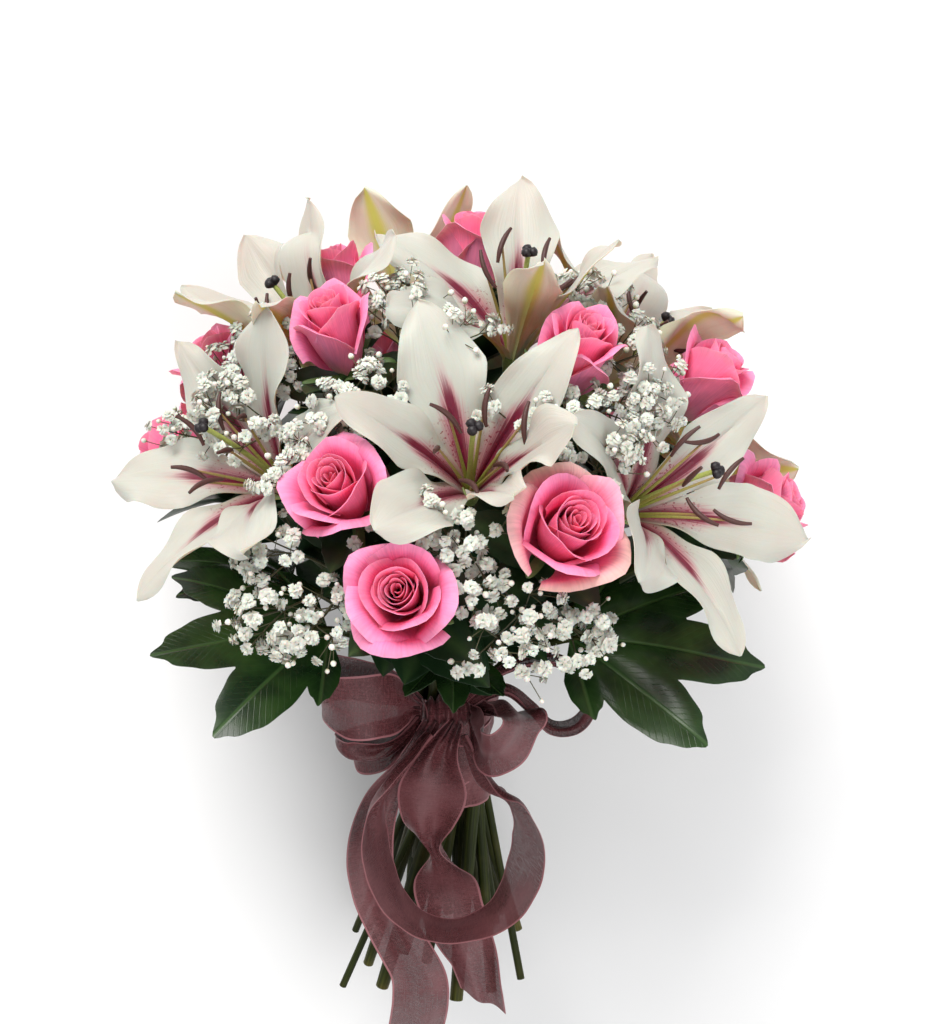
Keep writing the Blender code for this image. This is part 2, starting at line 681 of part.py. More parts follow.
def lay_down(soft):
    """Lies the bouquet on its back on z = 0, above the origin, and flattens the flowers that it presses."""
    turn = Matrix.Rotation(LIE_ANGLE - math.pi / 2, 3, "X")
    up = turn.transposed() @ Vector((0, 0, 1))
    pieces = [obj for obj in bpy.context.scene.objects if obj.type == "MESH"]
    yielding = {obj.name for obj in soft} | {obj.name + "_add" for obj in soft}
    lowest = {True: math.inf, False: math.inf}
    for obj in pieces:
        gives = obj.name in yielding
        lowest[gives] = min(lowest[gives], min(up.dot(v.co) for v in obj.data.vertices))
    ground = lowest[False]
    deepest = math.exp((lowest[True] - ground - GIVE) / GIVE)
    for obj in pieces:
        if obj.name not in yielding:
            continue
        for vertex in obj.data.vertices:
            height = up.dot(vertex.co) - ground
            if height < GIVE:
                pressed = GIVE * (math.exp((height - GIVE) / GIVE) - deepest) / (1 - deepest)
                vertex.co += up * (pressed - height)
    corners = [turn @ v.co for obj in pieces for v in obj.data.vertices]
    middle_x = (min(c.x for c in corners) + max(c.x for c in corners)) / 2
    middle_y = (min(c.y for c in corners) + max(c.y for c in corners)) / 2
    rest = bpy.data.objects.new("bouquet_axis", None)
    bpy.context.scene.collection.objects.link(rest)
    rest.rotation_euler = (LIE_ANGLE - math.pi / 2, 0, 0)
    rest.location = (-middle_x, -middle_y, -ground)
    for obj in pieces:
        obj.parent = rest


for old in list(bpy.data.objects):
    bpy.data.objects.remove(old, do_unlink=True)
lay_down(build_bouquet())
bpy.context.view_layer.update()
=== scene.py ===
"""Looks of the bridal bouquet: petals, tepals, florets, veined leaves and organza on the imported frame.

The bouquet is arranged in its own frame, as its solids are: the tie at the origin, +Z up through the
flowers and -Y towards the front. Everything is then laid on its back at the place that the frame gives.
Lengths are metres, angles in the tables are degrees, and colours are linear red, green and blue.
"""

import random
from math import atan2, cos, exp, hypot, pi, radians, sin, sqrt

import bpy
import numpy as np
from mathutils import Matrix, Vector, noise
from mathutils.bvhtree import BVHTree


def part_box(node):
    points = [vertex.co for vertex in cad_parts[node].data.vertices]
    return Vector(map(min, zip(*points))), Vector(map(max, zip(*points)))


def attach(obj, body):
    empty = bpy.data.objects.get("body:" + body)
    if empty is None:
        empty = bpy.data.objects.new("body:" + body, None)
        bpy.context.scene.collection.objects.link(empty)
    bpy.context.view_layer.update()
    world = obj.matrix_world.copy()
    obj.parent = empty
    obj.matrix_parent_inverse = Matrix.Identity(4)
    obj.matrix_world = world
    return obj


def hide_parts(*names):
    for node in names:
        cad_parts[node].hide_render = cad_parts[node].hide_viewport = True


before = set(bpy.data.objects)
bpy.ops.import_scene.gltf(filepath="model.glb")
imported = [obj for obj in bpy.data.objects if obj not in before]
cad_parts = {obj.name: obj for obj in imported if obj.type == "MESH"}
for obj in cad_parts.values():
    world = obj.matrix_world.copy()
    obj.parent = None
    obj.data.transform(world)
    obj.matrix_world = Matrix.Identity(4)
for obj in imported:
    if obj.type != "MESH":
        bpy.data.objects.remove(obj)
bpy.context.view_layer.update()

# Arrangement, the same as the solids': the flowers sit on a dome round FOCUS, and the roses and sprigs
# grow away from AIM
GAP = 0.0003
FOCUS = Vector((0, 0, 0.112))
AIM = Vector((0, 0, 0.055))
TURN_PER_METRE = 19.0
NECK = 0.006
SPLAY_HEIGHT = 0.034
LIE_ANGLE = radians(20.5)
TURN = Matrix.Rotation(LIE_ANGLE - pi / 2, 3, "X")
GIVE = 0.014
FLOOR_GAP = 0.0002
ROSE_STEM_RADIUS = 0.0034
LILY_STEM_RADIUS = 0.0042
STALK_RADIUS = 0.0024
SPRIG_RADIUS = 0.0017
ROSE_HEIGHT = 0.054
SEAT_SHARE = 0.56
TEPAL_LENGTH = 0.108
LEAF_LENGTH = 0.125
CLEARANCE = 0.0045
FORK_REACH = 0.085
RIBBON_WIDTH = 0.050

# Thicknesses of what is thin, and the real ribbon's width
PETAL_THICKNESS = 0.00035
SEPAL_THICKNESS = 0.0004
TEPAL_THICKNESS = 0.0007
BLADE_THICKNESS = 0.0006
LEAFLET_THICKNESS = 0.0004
CLOTH_THICKNESS = 0.00025
CLOTH_WIDTH = 0.040

# How each kind of flower is filled. A bloom's petals stand upright to PETAL_REACH of its radius.
GOLDEN_ANGLE = 137.5
HEART_PETALS = 14
OUTER_RANKS = [0.54, 0.60, 0.67, 0.75, 0.84, 0.90, 0.95, 1.0]
PETAL_REACH = 0.79
SEPALS = 5
TEPALS = 6
STAMENS = 6
SPRAYS = 6
FLORETS = 7
BUD_SHARE = 0.28
FLORET_SPACING = 0.0050
FLORET_ROOM = 0.0032

# Broad and narrow tepals: the width that keeps clear of the roses, the full width, and the opening angle
TEPAL_KINDS = ((0.040, 0.052, 60), (0.028, 0.036, 66))

# Points along and across each kind of grid
PETAL_GRID = (14, 13)
TEPAL_GRID = (35, 17)
WRAP_GRID = (97, 17)
KNOT_GRID = (61, 41)
STRIP_ACROSS = 41

# Tints of the small parts
CUP_GREEN, SEPAL_GREEN = (0.10, 0.17, 0.05), (0.08, 0.15, 0.04)
NECK_GREEN, STYLE_GREEN, STIGMA_TINT = (0.25, 0.32, 0.08), (0.33, 0.37, 0.09), (0.006, 0.002, 0.004)
FILAMENT_FOOT, FILAMENT_TIP, ANTHER_TINT = (0.33, 0.40, 0.06), (0.30, 0.17, 0.07), (0.062, 0.017, 0.013)
LEAFLET_DARK, LEAFLET_RIB = (0.012, 0.036, 0.012), (0.05, 0.10, 0.03)
FLORET_CUP, BUD_CUP, TWIG = (0.62, 0.65, 0.42), (0.26, 0.33, 0.13), (0.075, 0.070, 0.030)
STEM_TINT, CUT_TINT = (1.0, 1.0, 1.0), (2.6, 2.1, 2.4)
WHITE, BLACK = (1.0, 1.0, 1.0), (0.0, 0.0, 0.0)

# Roses: azimuth, polar angle and distance of the bloom from FOCUS, its radius, and stem below the tie
ROSES = {
    "01": (-146, 27, 0.174, 0.025, 0.131),
    "02": (-40, 28, 0.172, 0.025, 0.125),
    "03": (-114, 54, 0.172, 0.027, 0.135),
    "04": (-98, 69, 0.178, 0.028, 0.155),
    "05": (-68, 59, 0.178, 0.033, 0.16),
    "06": (84, 22, 0.178, 0.027, 0.117),
    "07": (5, 50, 0.178, 0.027, 0.133),
    "08": (-4, 74, 0.178, 0.0285, 0.121),
    "09": (48, 48, 0.172, 0.0265, 0.138),
    "10": (140, 33, 0.172, 0.0265, 0.127),
    "11": (170, 52, 0.17, 0.0275, 0.119),
    "12": (164, 76, 0.172, 0.027, 0.139),
    "13": (112, 66, 0.166, 0.027, 0.138),
    "14": (62, 70, 0.166, 0.027, 0.15),
}
# Roses that are still half in bud, how far those have opened, and the one whose rims fade to cream
TIGHT_ROSES = ("01", "02", "06", "07", "09", "10")
TIGHT_OPENING = 0.82
RIPE_ROSE = "05"

# Lilies: azimuth, polar angle and distance of the throat from FOCUS, azimuth and polar angle that the
# flower faces, spin of its first tepal
LILIES = {
    "01": (-84, 46, 0.112, -88, 39, 110),
    "02": (-150, 58, 0.112, -152, 50, 100),
    "03": (-31, 60, 0.112, -31, 56, 75),
    "04": (16, 14, 0.118, -63, 12, 68),
    "05": (167, 34, 0.114, 166, 38, 80),
    "06": (108, 40, 0.114, 106, 44, 60),
    "07": (28, 40, 0.11, 24, 49, 185),
    "08": (28, 76, 0.106, 24, 68, 60),
}
# Flowers that grow on one stem, the main one first, and how far the stem reaches below the tie
LILY_STEMS = {
    "01": (("01", "04"), 0.148),
    "02": (("02", "05"), 0.13),
    "03": (("03",), 0.158),
    "04": (("06",), 0.122),
    "05": (("08", "07"), 0.146),
}

# Leaves: azimuth, polar angle and distance from FOCUS of the blade's root, the azimuth that the blade
# points in, its tilt outwards, its roll about its midrib, size, and stalk below the tie
LEAVES = {
    "01": (-142, 101, 0.086, -154, 82, 26, 0.74, 0.128),
    "02": (-38, 101, 0.086, -10, 84, -27, 0.8, 0.165),
    "03": (-88, 97, 0.083, -88, 98, 0, 0.36, 0.146),
    "04": (178, 99.5, 0.092, 178, 75, 0, 0.58, 0.133),
    "05": (64, 118, 0.076, 64, 80, 0, 0.64, 0.146),
}

# Baby's breath: for each sprig, azimuth and polar angle of its fork, then azimuth, polar angle and
# distance from FOCUS of each cluster, and stalk below the tie
SPRIGS = {
    "01": ((-176, 65), (
        (-176, 61, 0.192), (-169, 45, 0.192), (-167, 38, 0.19), (179, 57, 0.186), (-154, 47, 0.186),
        (174, 48, 0.192), (-175, 36, 0.194), (-164, 52, 0.192),
    ), 0.1),
    "02": ((-126, 78), (
        (-126, 79, 0.19), (-125, 67, 0.192), (-118, 80, 0.188), (-113, 75, 0.184), (-116, 52, 0.182),
        (-126, 56, 0.19),
    ), 0.096),
    "03": ((-80, 77), (
        (-80, 78, 0.19), (-87, 60, 0.192), (-64, 78, 0.188), (-74, 73, 0.184), (-86, 68, 0.18),
        (-91, 58, 0.192),
    ), 0.104),
    "04": ((-51, 46), (
        (-55, 40, 0.192), (-37, 42, 0.194), (-66, 37, 0.186), (-47, 48, 0.186), (-20, 42, 0.188),
    ), 0.092),
    "05": ((-118, 12), (
        (-150, 15, 0.19), (-124, 38, 0.192), (-4, 32, 0.192), (-140, 13, 0.188), (-116, 34, 0.184),
        (19, 28, 0.192), (-126, 44, 0.186), (-30, 37, 0.186), (-103, 16, 0.19), (2, 20, 0.194),
    ), 0.108),
}

# Routes of the ribbon. Each stop is a point in millimetres, the direction of the width there, and the
# width as a share of RIBBON_WIDTH.
BOW_LEFT = (
    (-15, -38.8, 41, 0, -0.3, 1, 0.16), (-32, -67, 57, -0.1, -0.15, 1, 0.68),
    (-52, -76.5, 60, -0.15, 0, 1, 0.8), (-70, -70.5, 64, -0.2, -0.3, 1, 0.78),
    (-65, -59, 69, -0.2, -0.3, 1, 0.7), (-40, -52, 62, -0.1, -0.3, 1, 0.5),
    (-15, -31.2, 40, 0, -0.3, 1, 0.16),
)
BOW_LEFT_LOW = (
    (-15, -36.5, 31.5, -0.1, -0.3, 1, 0.1), (-25, -52, 24.5, -0.4, -0.35, 1, 0.15),
    (-36, -62, 20.5, -0.6, -0.35, 1, 0.36), (-50, -64, 21, -0.7, -0.35, 1, 0.5),
    (-56, -58, 25.5, -0.7, -0.3, 1, 0.5), (-45, -54, 26.5, -0.6, -0.3, 1, 0.34),
    (-15, -33.6, 32, -0.1, -0.3, 1, 0.1),
)
BOW_RIGHT = (
    (15, -37.2, 39, 0, -0.3, 1, 0.2), (18, -64, 39, 0.1, -0.35, 1, 0.5),
    (23.5, -79, 37, 0, -0.35, 1, 0.72), (34.5, -83, 43, -0.45, -0.5, 0.75, 0.74),
    (42.5, -77, 56, -0.6, -0.8, 0.2, 0.7), (38, -64.5, 57, -0.6, -0.5, 0.6, 0.48),
    (28.5, -48, 46.5, -0.2, -0.5, 0.8, 0.32), (15, -31, 38.5, 0, -0.3, 1, 0.18),
)
SIDE_LOOP = (
    (10, -36.5, 46.2, 0.1, -1, 0.2, 0.12), (24, -46.5, 67, 0.1, -1, 0.2, 0.16),
    (44, -52, 80, 0, -1, 0.2, 0.26), (61, -54, 82, 0, -1, 0.2, 0.34),
    (75.5, -55, 72, 0, -1, 0.2, 0.4), (80, -55, 56, 0, -1, 0.2, 0.4),
    (72.5, -54, 42, 0, -1, 0.2, 0.38), (59, -52, 39.5, 0, -1, 0.2, 0.32),
    (48, -49, 49, 0, -1, 0.2, 0.24), (32, -47, 59, 0.1, -1, 0.2, 0.14),
    (14.2, -36.5, 44.2, 0.1, -1, 0.2, 0.1),
)
HANGING_LOOP = (
    (10.6, -49.5, 30, 0.2, -1, 0.1, 0.15), (23, -65, 10, 0.4, -0.8, 0.3, 0.44),
    (40, -80, 6, 0.46, -0.85, 0.15, 0.66), (49, -89, -12, 0.45, -0.88, 0.1, 0.8),
    (45.5, -92, -36.5, 0.38, -0.9, 0.1, 0.8), (32.5, -93, -60, 0.2, -0.95, 0.2, 0.8),
    (10.5, -93, -71.5, 0, -1, 0.26, 0.8), (-10.5, -92, -67.5, -0.1, -1, 0.22, 0.8),
    (-27, -89, -50.5, -0.25, -0.94, 0.1, 0.8), (-35.5, -86, -24.5, -0.32, -0.94, 0.1, 0.8),
    (-36.5, -83, 2, -0.32, -0.94, 0.1, 0.68), (-27, -75.5, 17, -0.2, -0.9, 0.2, 0.4),
    (-8, -49.5, 29.5, 0, -1, 0.1, 0.2),
)
TAIL_LEFT = (
    (-6.6, -43.2, 35, 0.9, 0, 0.2, 0.22), (-19, -44, 8, 0.9, 0, 0.2, 0.3),
    (-34.5, -49, -15.5, 0.9, 0, 0.2, 0.42), (-40, -56, -44.5, 0.9, -0.1, 0.3, 0.52),
    (-35.5, -62, -71, 0.9, -0.2, 0.3, 0.56), (-22.5, -68, -96, 0.9, -0.2, 0.3, 0.62),
    (-10, -71, -119, 1, -0.2, 0.2, 0.66), (-8, -70, -140, 1, -0.1, 0, 0.66),
    (-11, -59, -175, 1, 0, 0, 0.66),
)
TAIL_RIGHT = (
    (6, -43.2, 35, 0.9, 0, -0.1, 0.16), (-2, -53, 20, 1, 0, -0.1, 0.42),
    (-5.5, -60, -2, 1, -0.1, 0, 0.78), (-7, -61, -27, 1, -0.1, 0.1, 0.6),
    (0, -58, -48, 0.5, -0.6, 0.6, 0.24), (5, -58, -70, 1, -0.1, 0.3, 0.72),
    (12, -60, -90.5, 1, 0, 0.3, 0.74), (20.5, -64, -108.5, 1, 0, 0.2, 0.66),
    (25.3, -66, -126, 1, 0, 0, 0.54), (29, -66, -140, 1, 0.1, 0, 0.44),
)

# Geometry helpers


def direction(azimuth, polar):
    """The unit vector at an azimuth and a polar angle from +Z, both in degrees."""
    a, p = radians(azimuth), radians(polar)
    return Vector((sin(p) * cos(a), sin(p) * sin(a), cos(p)))


def on_dome(azimuth, polar, reach):
    return FOCUS + reach * direction(azimuth, polar)


def facing(axis, spin=0.0):
    """A rotation that turns +Z to axis and +X sideways, then spins it about the axis by degrees."""
    side = Vector((0, 0, 1)).cross(axis)
    side = side.normalized() if side.length > 1e-6 else Vector((1, 0, 0))
    turn = Matrix((side, axis.cross(side), axis)).transposed()
    return turn @ Matrix.Rotation(radians(spin), 3, "Z")


def smooth(x):
    x = min(max(x, 0.0), 1.0)
    return x * x * (3 - 2 * x)


def mixed(a, b, share):
    return tuple(p + (q - p) * share for p, q in zip(a, b))


def shares(count):
    """Even steps from 0 to 1."""
    return [i / (count - 1) for i in range(count)]


def sides(count):
    """Even steps from -1 to 1."""
    return [2 * i / (count - 1) - 1 for i in range(count)]


def surface(count, across, point):
    """A grid of points, each from its place along (0 to 1) and its place across (-1 to 1)."""
    return [[point(v, u) for u in sides(across)] for v in shares(count)]


def ring(angle, radius=1.0, height=0.0):
    """The point at an angle round +Z."""
    return Vector((radius * cos(angle), radius * sin(angle), height))


def path_length(points):
    return sum((b - a).length for a, b in zip(points, points[1:]))


def spline_at(stops, place):
    """The smooth curve through the stops: place counts the stops, from 0 at the first one."""
    ends = [2 * stops[0] - stops[1], *stops, 2 * stops[-1] - stops[-2]]
    i = min(int(place), len(stops) - 2)
    a, b, c, d = ends[i : i + 4]
    t = place - i
    pull = (2 * a - 5 * b + 4 * c - d) * t * t + (3 * b - a - 3 * c + d) * t**3
    return 0.5 * (2 * b + (c - a) * t + pull)


def spline_points(stops, count):
    """Points at even steps along the smooth curve through the stops."""
    fineness = 16
    fine = [spline_at(stops, step / fineness) for step in range(fineness * (len(stops) - 1))]
    fine.append(stops[-1])
    lengths = np.cumsum([0] + [(q - p).length for p, q in zip(fine, fine[1:])])
    wanted = np.linspace(0, lengths[-1], count)
    return [Vector([float(np.interp(w, lengths, [p[k] for p in fine])) for k in range(3)]) for w in wanted]


def hermite(start, start_pull, end, end_pull, count):
    """Points on a cubic from start to end that leaves along start_pull and arrives along end_pull."""
    points = []
    for t in shares(count + 1)[1:]:
        a, b = 2 * t**3 - 3 * t**2 + 1, t**3 - 2 * t**2 + t
        c, d = 3 * t**2 - 2 * t**3, t**3 - t**2
        points.append(a * start + b * start_pull + c * end + d * end_pull)
    return points


class Shape:
    """Points, faces, UVs, tints and material numbers that are gathered for one mesh."""

    def __init__(self):
        self.points, self.faces, self.uvs, self.tints, self.numbers = [], [], [], [], []

    def grid(self, rows, tint=(1, 1, 1), thickness=0.0, edge=0.4, stretch=1.0, uvs=None):
        """A sheet over a grid of points; with a thickness it is closed, and thinner at its edge.

        A tint may be a colour, or take the place along (0 to 1), the place across (-1 to 1) and the side
        (1 in front, -1 behind). The UV map follows the same places unless uvs gives one to a point.
        """
        count, across = len(rows), len(rows[0])
        base, size = len(self.points), count * across
        for side in (1, -1) if thickness else (1,):
            for i, v in enumerate(shares(count)):
                for j, u in enumerate(sides(across)):
                    point = rows[i][j]
                    if thickness:
                        along = rows[min(i + 1, count - 1)][j] - rows[max(i - 1, 0)][j]
                        aside = rows[i][min(j + 1, across - 1)] - rows[i][max(j - 1, 0)]
                        at_edge = j in (0, across - 1) or i in (0, count - 1)
                        half = thickness / 2 * (edge if at_edge else 1)
                        point = point + along.cross(aside).normalized() * (half * side)
                    self.points.append(point)
                    self.uvs.append(uvs[i][j] if uvs else (v * stretch, 0.5 + u / 2))
                    self.tints.append(tint(v, u, side) if callable(tint) else tint)
        for i in range(count - 1):
            for j in range(across - 1):
                a = base + i * across + j
                quad = (a, a + across, a + across + 1, a + 1)
                self.faces.append(quad)
                if thickness:
                    self.faces.append(tuple(v + size for v in reversed(quad)))
        if thickness:
            rim = [*range(across), *range(2 * across - 1, size, across)]
            rim += [*range(size - 2, size - across - 1, -1), *range(size - 2 * across, 0, -across)]
            for a, b in zip(rim, rim[1:] + rim[:1]):
                self.faces.append((base + a, base + b, base + b + size, base + a + size))
        self.number_faces(0)

    def tube(self, path, radii, around, tint=(1, 1, 1), number=0, lumps=None):
        """A closed tube along a path, one radius to a point; lumps may change each radius."""
        count = len(path)
        base = len(self.points)
        tangents = [(path[min(i + 1, count - 1)] - path[max(i - 1, 0)]).normalized() for i in range(count)]
        side = tangents[0].orthogonal().normalized()
        for i, (point, tangent, radius) in enumerate(zip(path, tangents, radii)):
            side = (side - side.dot(tangent) * tangent).normalized()
            other = tangent.cross(side)
            for k in range(around):
                angle = 2 * pi * k / around
                r = float(radius * (lumps(i, angle) if lumps else 1))
                self.points.append(point + r * (cos(angle) * side + sin(angle) * other))
                self.uvs.append((i / (count - 1), k / around))
                self.tints.append(tint(i / (count - 1)) if callable(tint) else tint)
        for i in range(count - 1):
            for k in range(around):
                a, b = base + i * around + k, base + i * around + (k + 1) % around
                self.faces.append((a, b, b + around, a + around))
        self.faces.append(tuple(base + k for k in reversed(range(around))))
        self.faces.append(tuple(base + (count - 1) * around + k for k in range(around)))
        self.number_faces(number)

    def number_faces(self, number):
        """Gives the new faces their material's number."""
        self.numbers += [number] * (len(self.faces) - len(self.numbers))


def lying(point):
    """A point of the bouquet's own frame, laid down at the frame's place."""
    return TURN @ point + TIE


pressed = []


def make(name, slot, shape, *materials, nodes=(), press=True):
    """A mesh object from a shape, laid down, that rides on the bouquet and stands for CAD nodes."""
    mesh = bpy.data.meshes.new(name)
    if press:
        pressed.append(name)
    mesh.from_pydata([tuple(lying(p)) for p in shape.points], [], shape.faces)
    uv_layer = mesh.uv_layers.new(name="UVMap")
    corners = np.empty(len(mesh.loops), dtype=np.int32)
    mesh.loops.foreach_get("vertex_index", corners)
    uv_layer.data.foreach_set("uv", np.array(shape.uvs, dtype=np.float32)[corners].ravel())
    colours = mesh.color_attributes.new(name="tint", type="FLOAT_COLOR", domain="POINT")
    rgba = np.ones((len(shape.points), 4), dtype=np.float32)
    rgba[:, :3] = shape.tints
    colours.data.foreach_set("color", rgba.ravel())
    mesh.polygons.foreach_set("material_index", shape.numbers)
    mesh.shade_smooth()
    mesh.set_sharp_from_angle(angle=radians(60))
    for material in materials:
        mesh.materials.append(material)
    obj = bpy.data.objects.new(name, mesh)
    bpy.context.scene.collection.objects.link(obj)
    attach(obj, "root")
    if nodes:
        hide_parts(*nodes)
    return obj


# Materials


def connect(given, socket):
    """Feeds a socket from a value, a colour or a number."""
    if isinstance(given, Value):
        socket.id_data.links.new(given.socket, socket)
    elif isinstance(given, tuple):
        socket.default_value = (*given, 1)
    else:
        socket.default_value = given


def calculation(operation, swapped=False):
    """A method that adds a math node to the tree of its value."""

    def method(self, other=0.0):
        node = self.socket.id_data.nodes.new("ShaderNodeMath")
        node.operation = operation
        pair = (other, self) if swapped else (self, other)
        for given, socket in zip(pair, node.inputs):
            connect(given, socket)
        return Value(node.outputs[0])

    return method


class Value:
    """A value in a material's node tree. Arithmetic on it adds the nodes that work out the result."""

    __add__ = calculation("ADD")
    __sub__ = calculation("SUBTRACT")
    __rsub__ = calculation("SUBTRACT", swapped=True)
    __mul__ = calculation("MULTIPLY")
    __abs__ = calculation("ABSOLUTE")
    modulo = calculation("MODULO")
    maximum = calculation("MAXIMUM")
    radians = calculation("RADIANS")
    sine = calculation("SINE")

    def __init__(self, socket):
        self.socket = socket

    def step(self, low, high, start=0.0, end=1.0):
        """Goes smoothly from start to end while this value goes from low to high."""
        node = self.socket.id_data.nodes.new("ShaderNodeMapRange")
        node.interpolation_type = "SMOOTHSTEP"
        for given, socket in zip((self, low, high, start, end), node.inputs):
            connect(given, socket)
        return Value(node.outputs[0])


class Paint:
    """A Principled material and short names for the nodes that it uses."""

    def __init__(self, name, **values):
        self.material = bpy.data.materials.new(name)
        self.material.use_nodes = True
        self.tree = self.material.node_tree
        self.shader = self.tree.nodes["Principled BSDF"]
        for key, value in values.items():
            self.shader.inputs[key.replace("_", " ")].default_value = value

    def node(self, kind, **values):
        """A new node; each value is that of a property or, when it starts with a capital, of an input."""
        node = self.tree.nodes.new(kind)
        for key, value in values.items():
            if key[0].isupper():
                connect(value, node.inputs[key])
            else:
                setattr(node, key, value)
        return node

    def uv(self):
        return Value(self.node("ShaderNodeUVMap", uv_map="UVMap").outputs["UV"])

    def along_across(self):
        """The UV map's two coordinates: 0 to 1 along the piece and across it."""
        split = self.node("ShaderNodeSeparateXYZ", Vector=self.uv())
        return Value(split.outputs[0]), Value(split.outputs[1])

    def along_side(self):
        """The place along the piece, and the place across it: 0 at its midline and 1 at either edge."""
        along, across = self.along_across()
        return along, abs(across - 0.5) * 2.0

    def tint(self):
        return Value(self.node("ShaderNodeVertexColor", layer_name="tint").outputs["Color"])

    def front(self):
        """For a piece tinted white in front and black behind: 1 in front, 0 behind."""
        return Value(self.node("ShaderNodeSeparateColor", Color=self.tint()).outputs[0])

    def mix(self, share, a, b, kind="MIX"):
        node = self.node("ShaderNodeMix", data_type="RGBA", blend_type=kind, Factor=share, A=a, B=b)
        return Value(node.outputs["Result"])

    def noise(self, coordinates, stretch, scale, detail):
        mapping = self.node("ShaderNodeMapping", Vector=coordinates)
        mapping.inputs["Scale"].default_value = stretch
        place = Value(mapping.outputs[0])
        node = self.node("ShaderNodeTexNoise", Scale=scale, Detail=detail, Vector=place)
        return Value(node.outputs["Fac"])

    def cloud(self, scale, detail=3.0):
        """Noise in the object's own space."""
        place = Value(self.node("ShaderNodeTexCoord").outputs["Object"])
        return self.noise(place, (1, 1, 1), scale, detail)

    def streaks(self, along, across, detail=3.0):
        """Noise on the stretched UV map, so that it runs along the sheet."""
        return self.noise(self.uv(), (along, across, 1), 1.0, detail)

    def colour(self, value):
        connect(value, self.shader.inputs["Base Color"])

    def shaded_tint(self, shade):
        """Colours the material with the piece's own tints, each times a shade."""
        grey = Value(self.node("ShaderNodeCombineColor", Red=shade, Green=shade, Blue=shade).outputs[0])
        self.colour(self.mix(1.0, self.tint(), grey, "MULTIPLY"))

    def bump(self, height, strength, distance):
        node = self.node("ShaderNodeBump", Strength=strength, Distance=distance, Height=height)
        connect(Value(node.outputs[0]), self.shader.inputs["Normal"])


def petal_paint():
    """Rose petals: the tint of each petal, with fine veins that run from its base to its rim."""
    paint = Paint("rose_petal", Roughness=0.58, Specular_IOR_Level=0.25, Sheen_Weight=0.06,
                  Sheen_Roughness=0.5, Subsurface_Weight=0.25, Subsurface_Scale=0.006)
    veins = paint.streaks(2.5, 42, 4)
    cloud = paint.cloud(70, 2)
    paint.shaded_tint(veins.step(0.3, 0.7, 0.90, 1.05) + cloud.step(0.3, 0.7, -0.08, 0.08))
    paint.bump(veins + cloud, 0.28, 0.0007)
    return paint.material


def tepal_paint():
    """Lily tepals: waxy cream, a crimson streak on the midrib that thins out, freckles, a green back rib,
    and a back painted lighter than the face to stand for light that shines through.
    """
    foot, cream = (0.41, 0.31, 0.23), (0.475, 0.472, 0.418)
    ivory, blush = (0.435, 0.435, 0.365), (0.455, 0.405, 0.36)
    pink, crimson = (0.41, 0.11, 0.155), (0.135, 0.004, 0.024)
    purple, lime = (0.22, 0.012, 0.04), (0.34, 0.38, 0.07)
    # The back's colours are greener than the face, as the real back is, and lighter than it: painted light
    # that stands for light shining through the tepal.
    lit_back_foot, lit_back_tip = (0.56, 0.55, 0.31), (0.60, 0.61, 0.49)
    lit_back_grain, back_rib = (0.54, 0.51, 0.39), (0.44, 0.50, 0.07)
    paint = Paint("lily_tepal", Roughness=0.46, Specular_IOR_Level=0.4, Sheen_Weight=0.05,
                  Subsurface_Weight=0.25, Subsurface_Scale=0.006)
    along, side = paint.along_side()
    grain = paint.streaks(3.0, 34, 4)
    cloud = paint.cloud(45)
    ragged = side + grain.step(0.25, 0.75, -0.11, 0.11)
    width = along.step(0.14, 0.66, 0.62, 0.03)
    streak = 1.0 - ragged.step(width * 0.30, width)
    streak *= along.step(0.50, 0.67, 1.0, 0.0)
    streak *= along.step(0.03, 0.14, 0.25, 1.0)
    halo = 1.0 - ragged.step(width * 0.6, width * 1.9 + 0.10)
    halo *= along.step(0.42, 0.78, 0.80, 0.0)
    freckles = paint.cloud(620, 1).step(0.60, 0.66) * along.step(0.36, 0.46, 0.8, 0.0)
    freckles *= side.step(0.75, 0.85, 1.0, 0.0)
    face = paint.mix(along.step(0.02, 0.45), foot, cream)
    face = paint.mix(grain.step(0.35, 0.8, 0.0, 0.45), face, ivory)
    face = paint.mix(cloud.step(0.40, 0.75, 0.0, 0.35), face, blush)
    face = paint.mix(halo, face, pink)
    face = paint.mix(streak, face, crimson)
    face = paint.mix(freckles, face, purple)
    face = paint.mix(along.step(0.02, 0.09, 0.9, 0.0), face, lime)
    rib = (1.0 - side.step(0.05, 0.42)) * along.step(0.20, 0.75, 0.55, 1.0)
    # Painted light: the back is lighter than the face, as if lit through the tepal.
    back = paint.mix(along.step(0.0, 0.9), lit_back_foot, lit_back_tip)
    back = paint.mix(grain.step(0.35, 0.8, 0.0, 0.4), back, lit_back_grain)
    back = paint.mix(rib * 0.9, back, back_rib)
    paint.colour(paint.mix(paint.front(), back, face))
    paint.bump(grain + rib * -0.6, 0.35, 0.0008)
    return paint.material


# The angle between a leaf's lobes, and the angle that its whole UV map spans
LOBE_STEP = 35.0
LEAF_SPAN = 256.0


def leaf_paint():
    """A glossy dark leaf: pale ribs along its lobes, and side veins. Its UV map is an angle and a radius."""
    paint = Paint("leaf_blade", Roughness=0.27, Specular_IOR_Level=0.36,
                  Coat_Weight=0.06, Coat_Roughness=0.15)
    angle, radius = paint.along_across()
    degrees = abs((angle - 0.5) * LEAF_SPAN)
    lobe = (degrees + LOBE_STEP / 2).modulo(LOBE_STEP) - LOBE_STEP / 2
    aside = abs(lobe.radians().sine() * radius)
    rib = 1.0 - aside.step(0.004, 0.016)
    wave = abs(((radius - aside * 1.3) * 62.0).sine())
    vein = (1.0 - wave.step(0.0, 0.28)) * 0.16
    lines = rib.maximum(vein)
    cloud = paint.cloud(38)
    green = paint.mix(cloud.step(0.3, 0.7), (0.005, 0.017, 0.005), (0.022, 0.058, 0.011))
    front = paint.mix(lines * 0.40, green, (0.07, 0.14, 0.04))
    paint.colour(paint.mix(paint.front(), (0.05, 0.10, 0.035), front))
    paint.bump(cloud * 0.35 - lines, 0.35, 0.0010)
    return paint.material


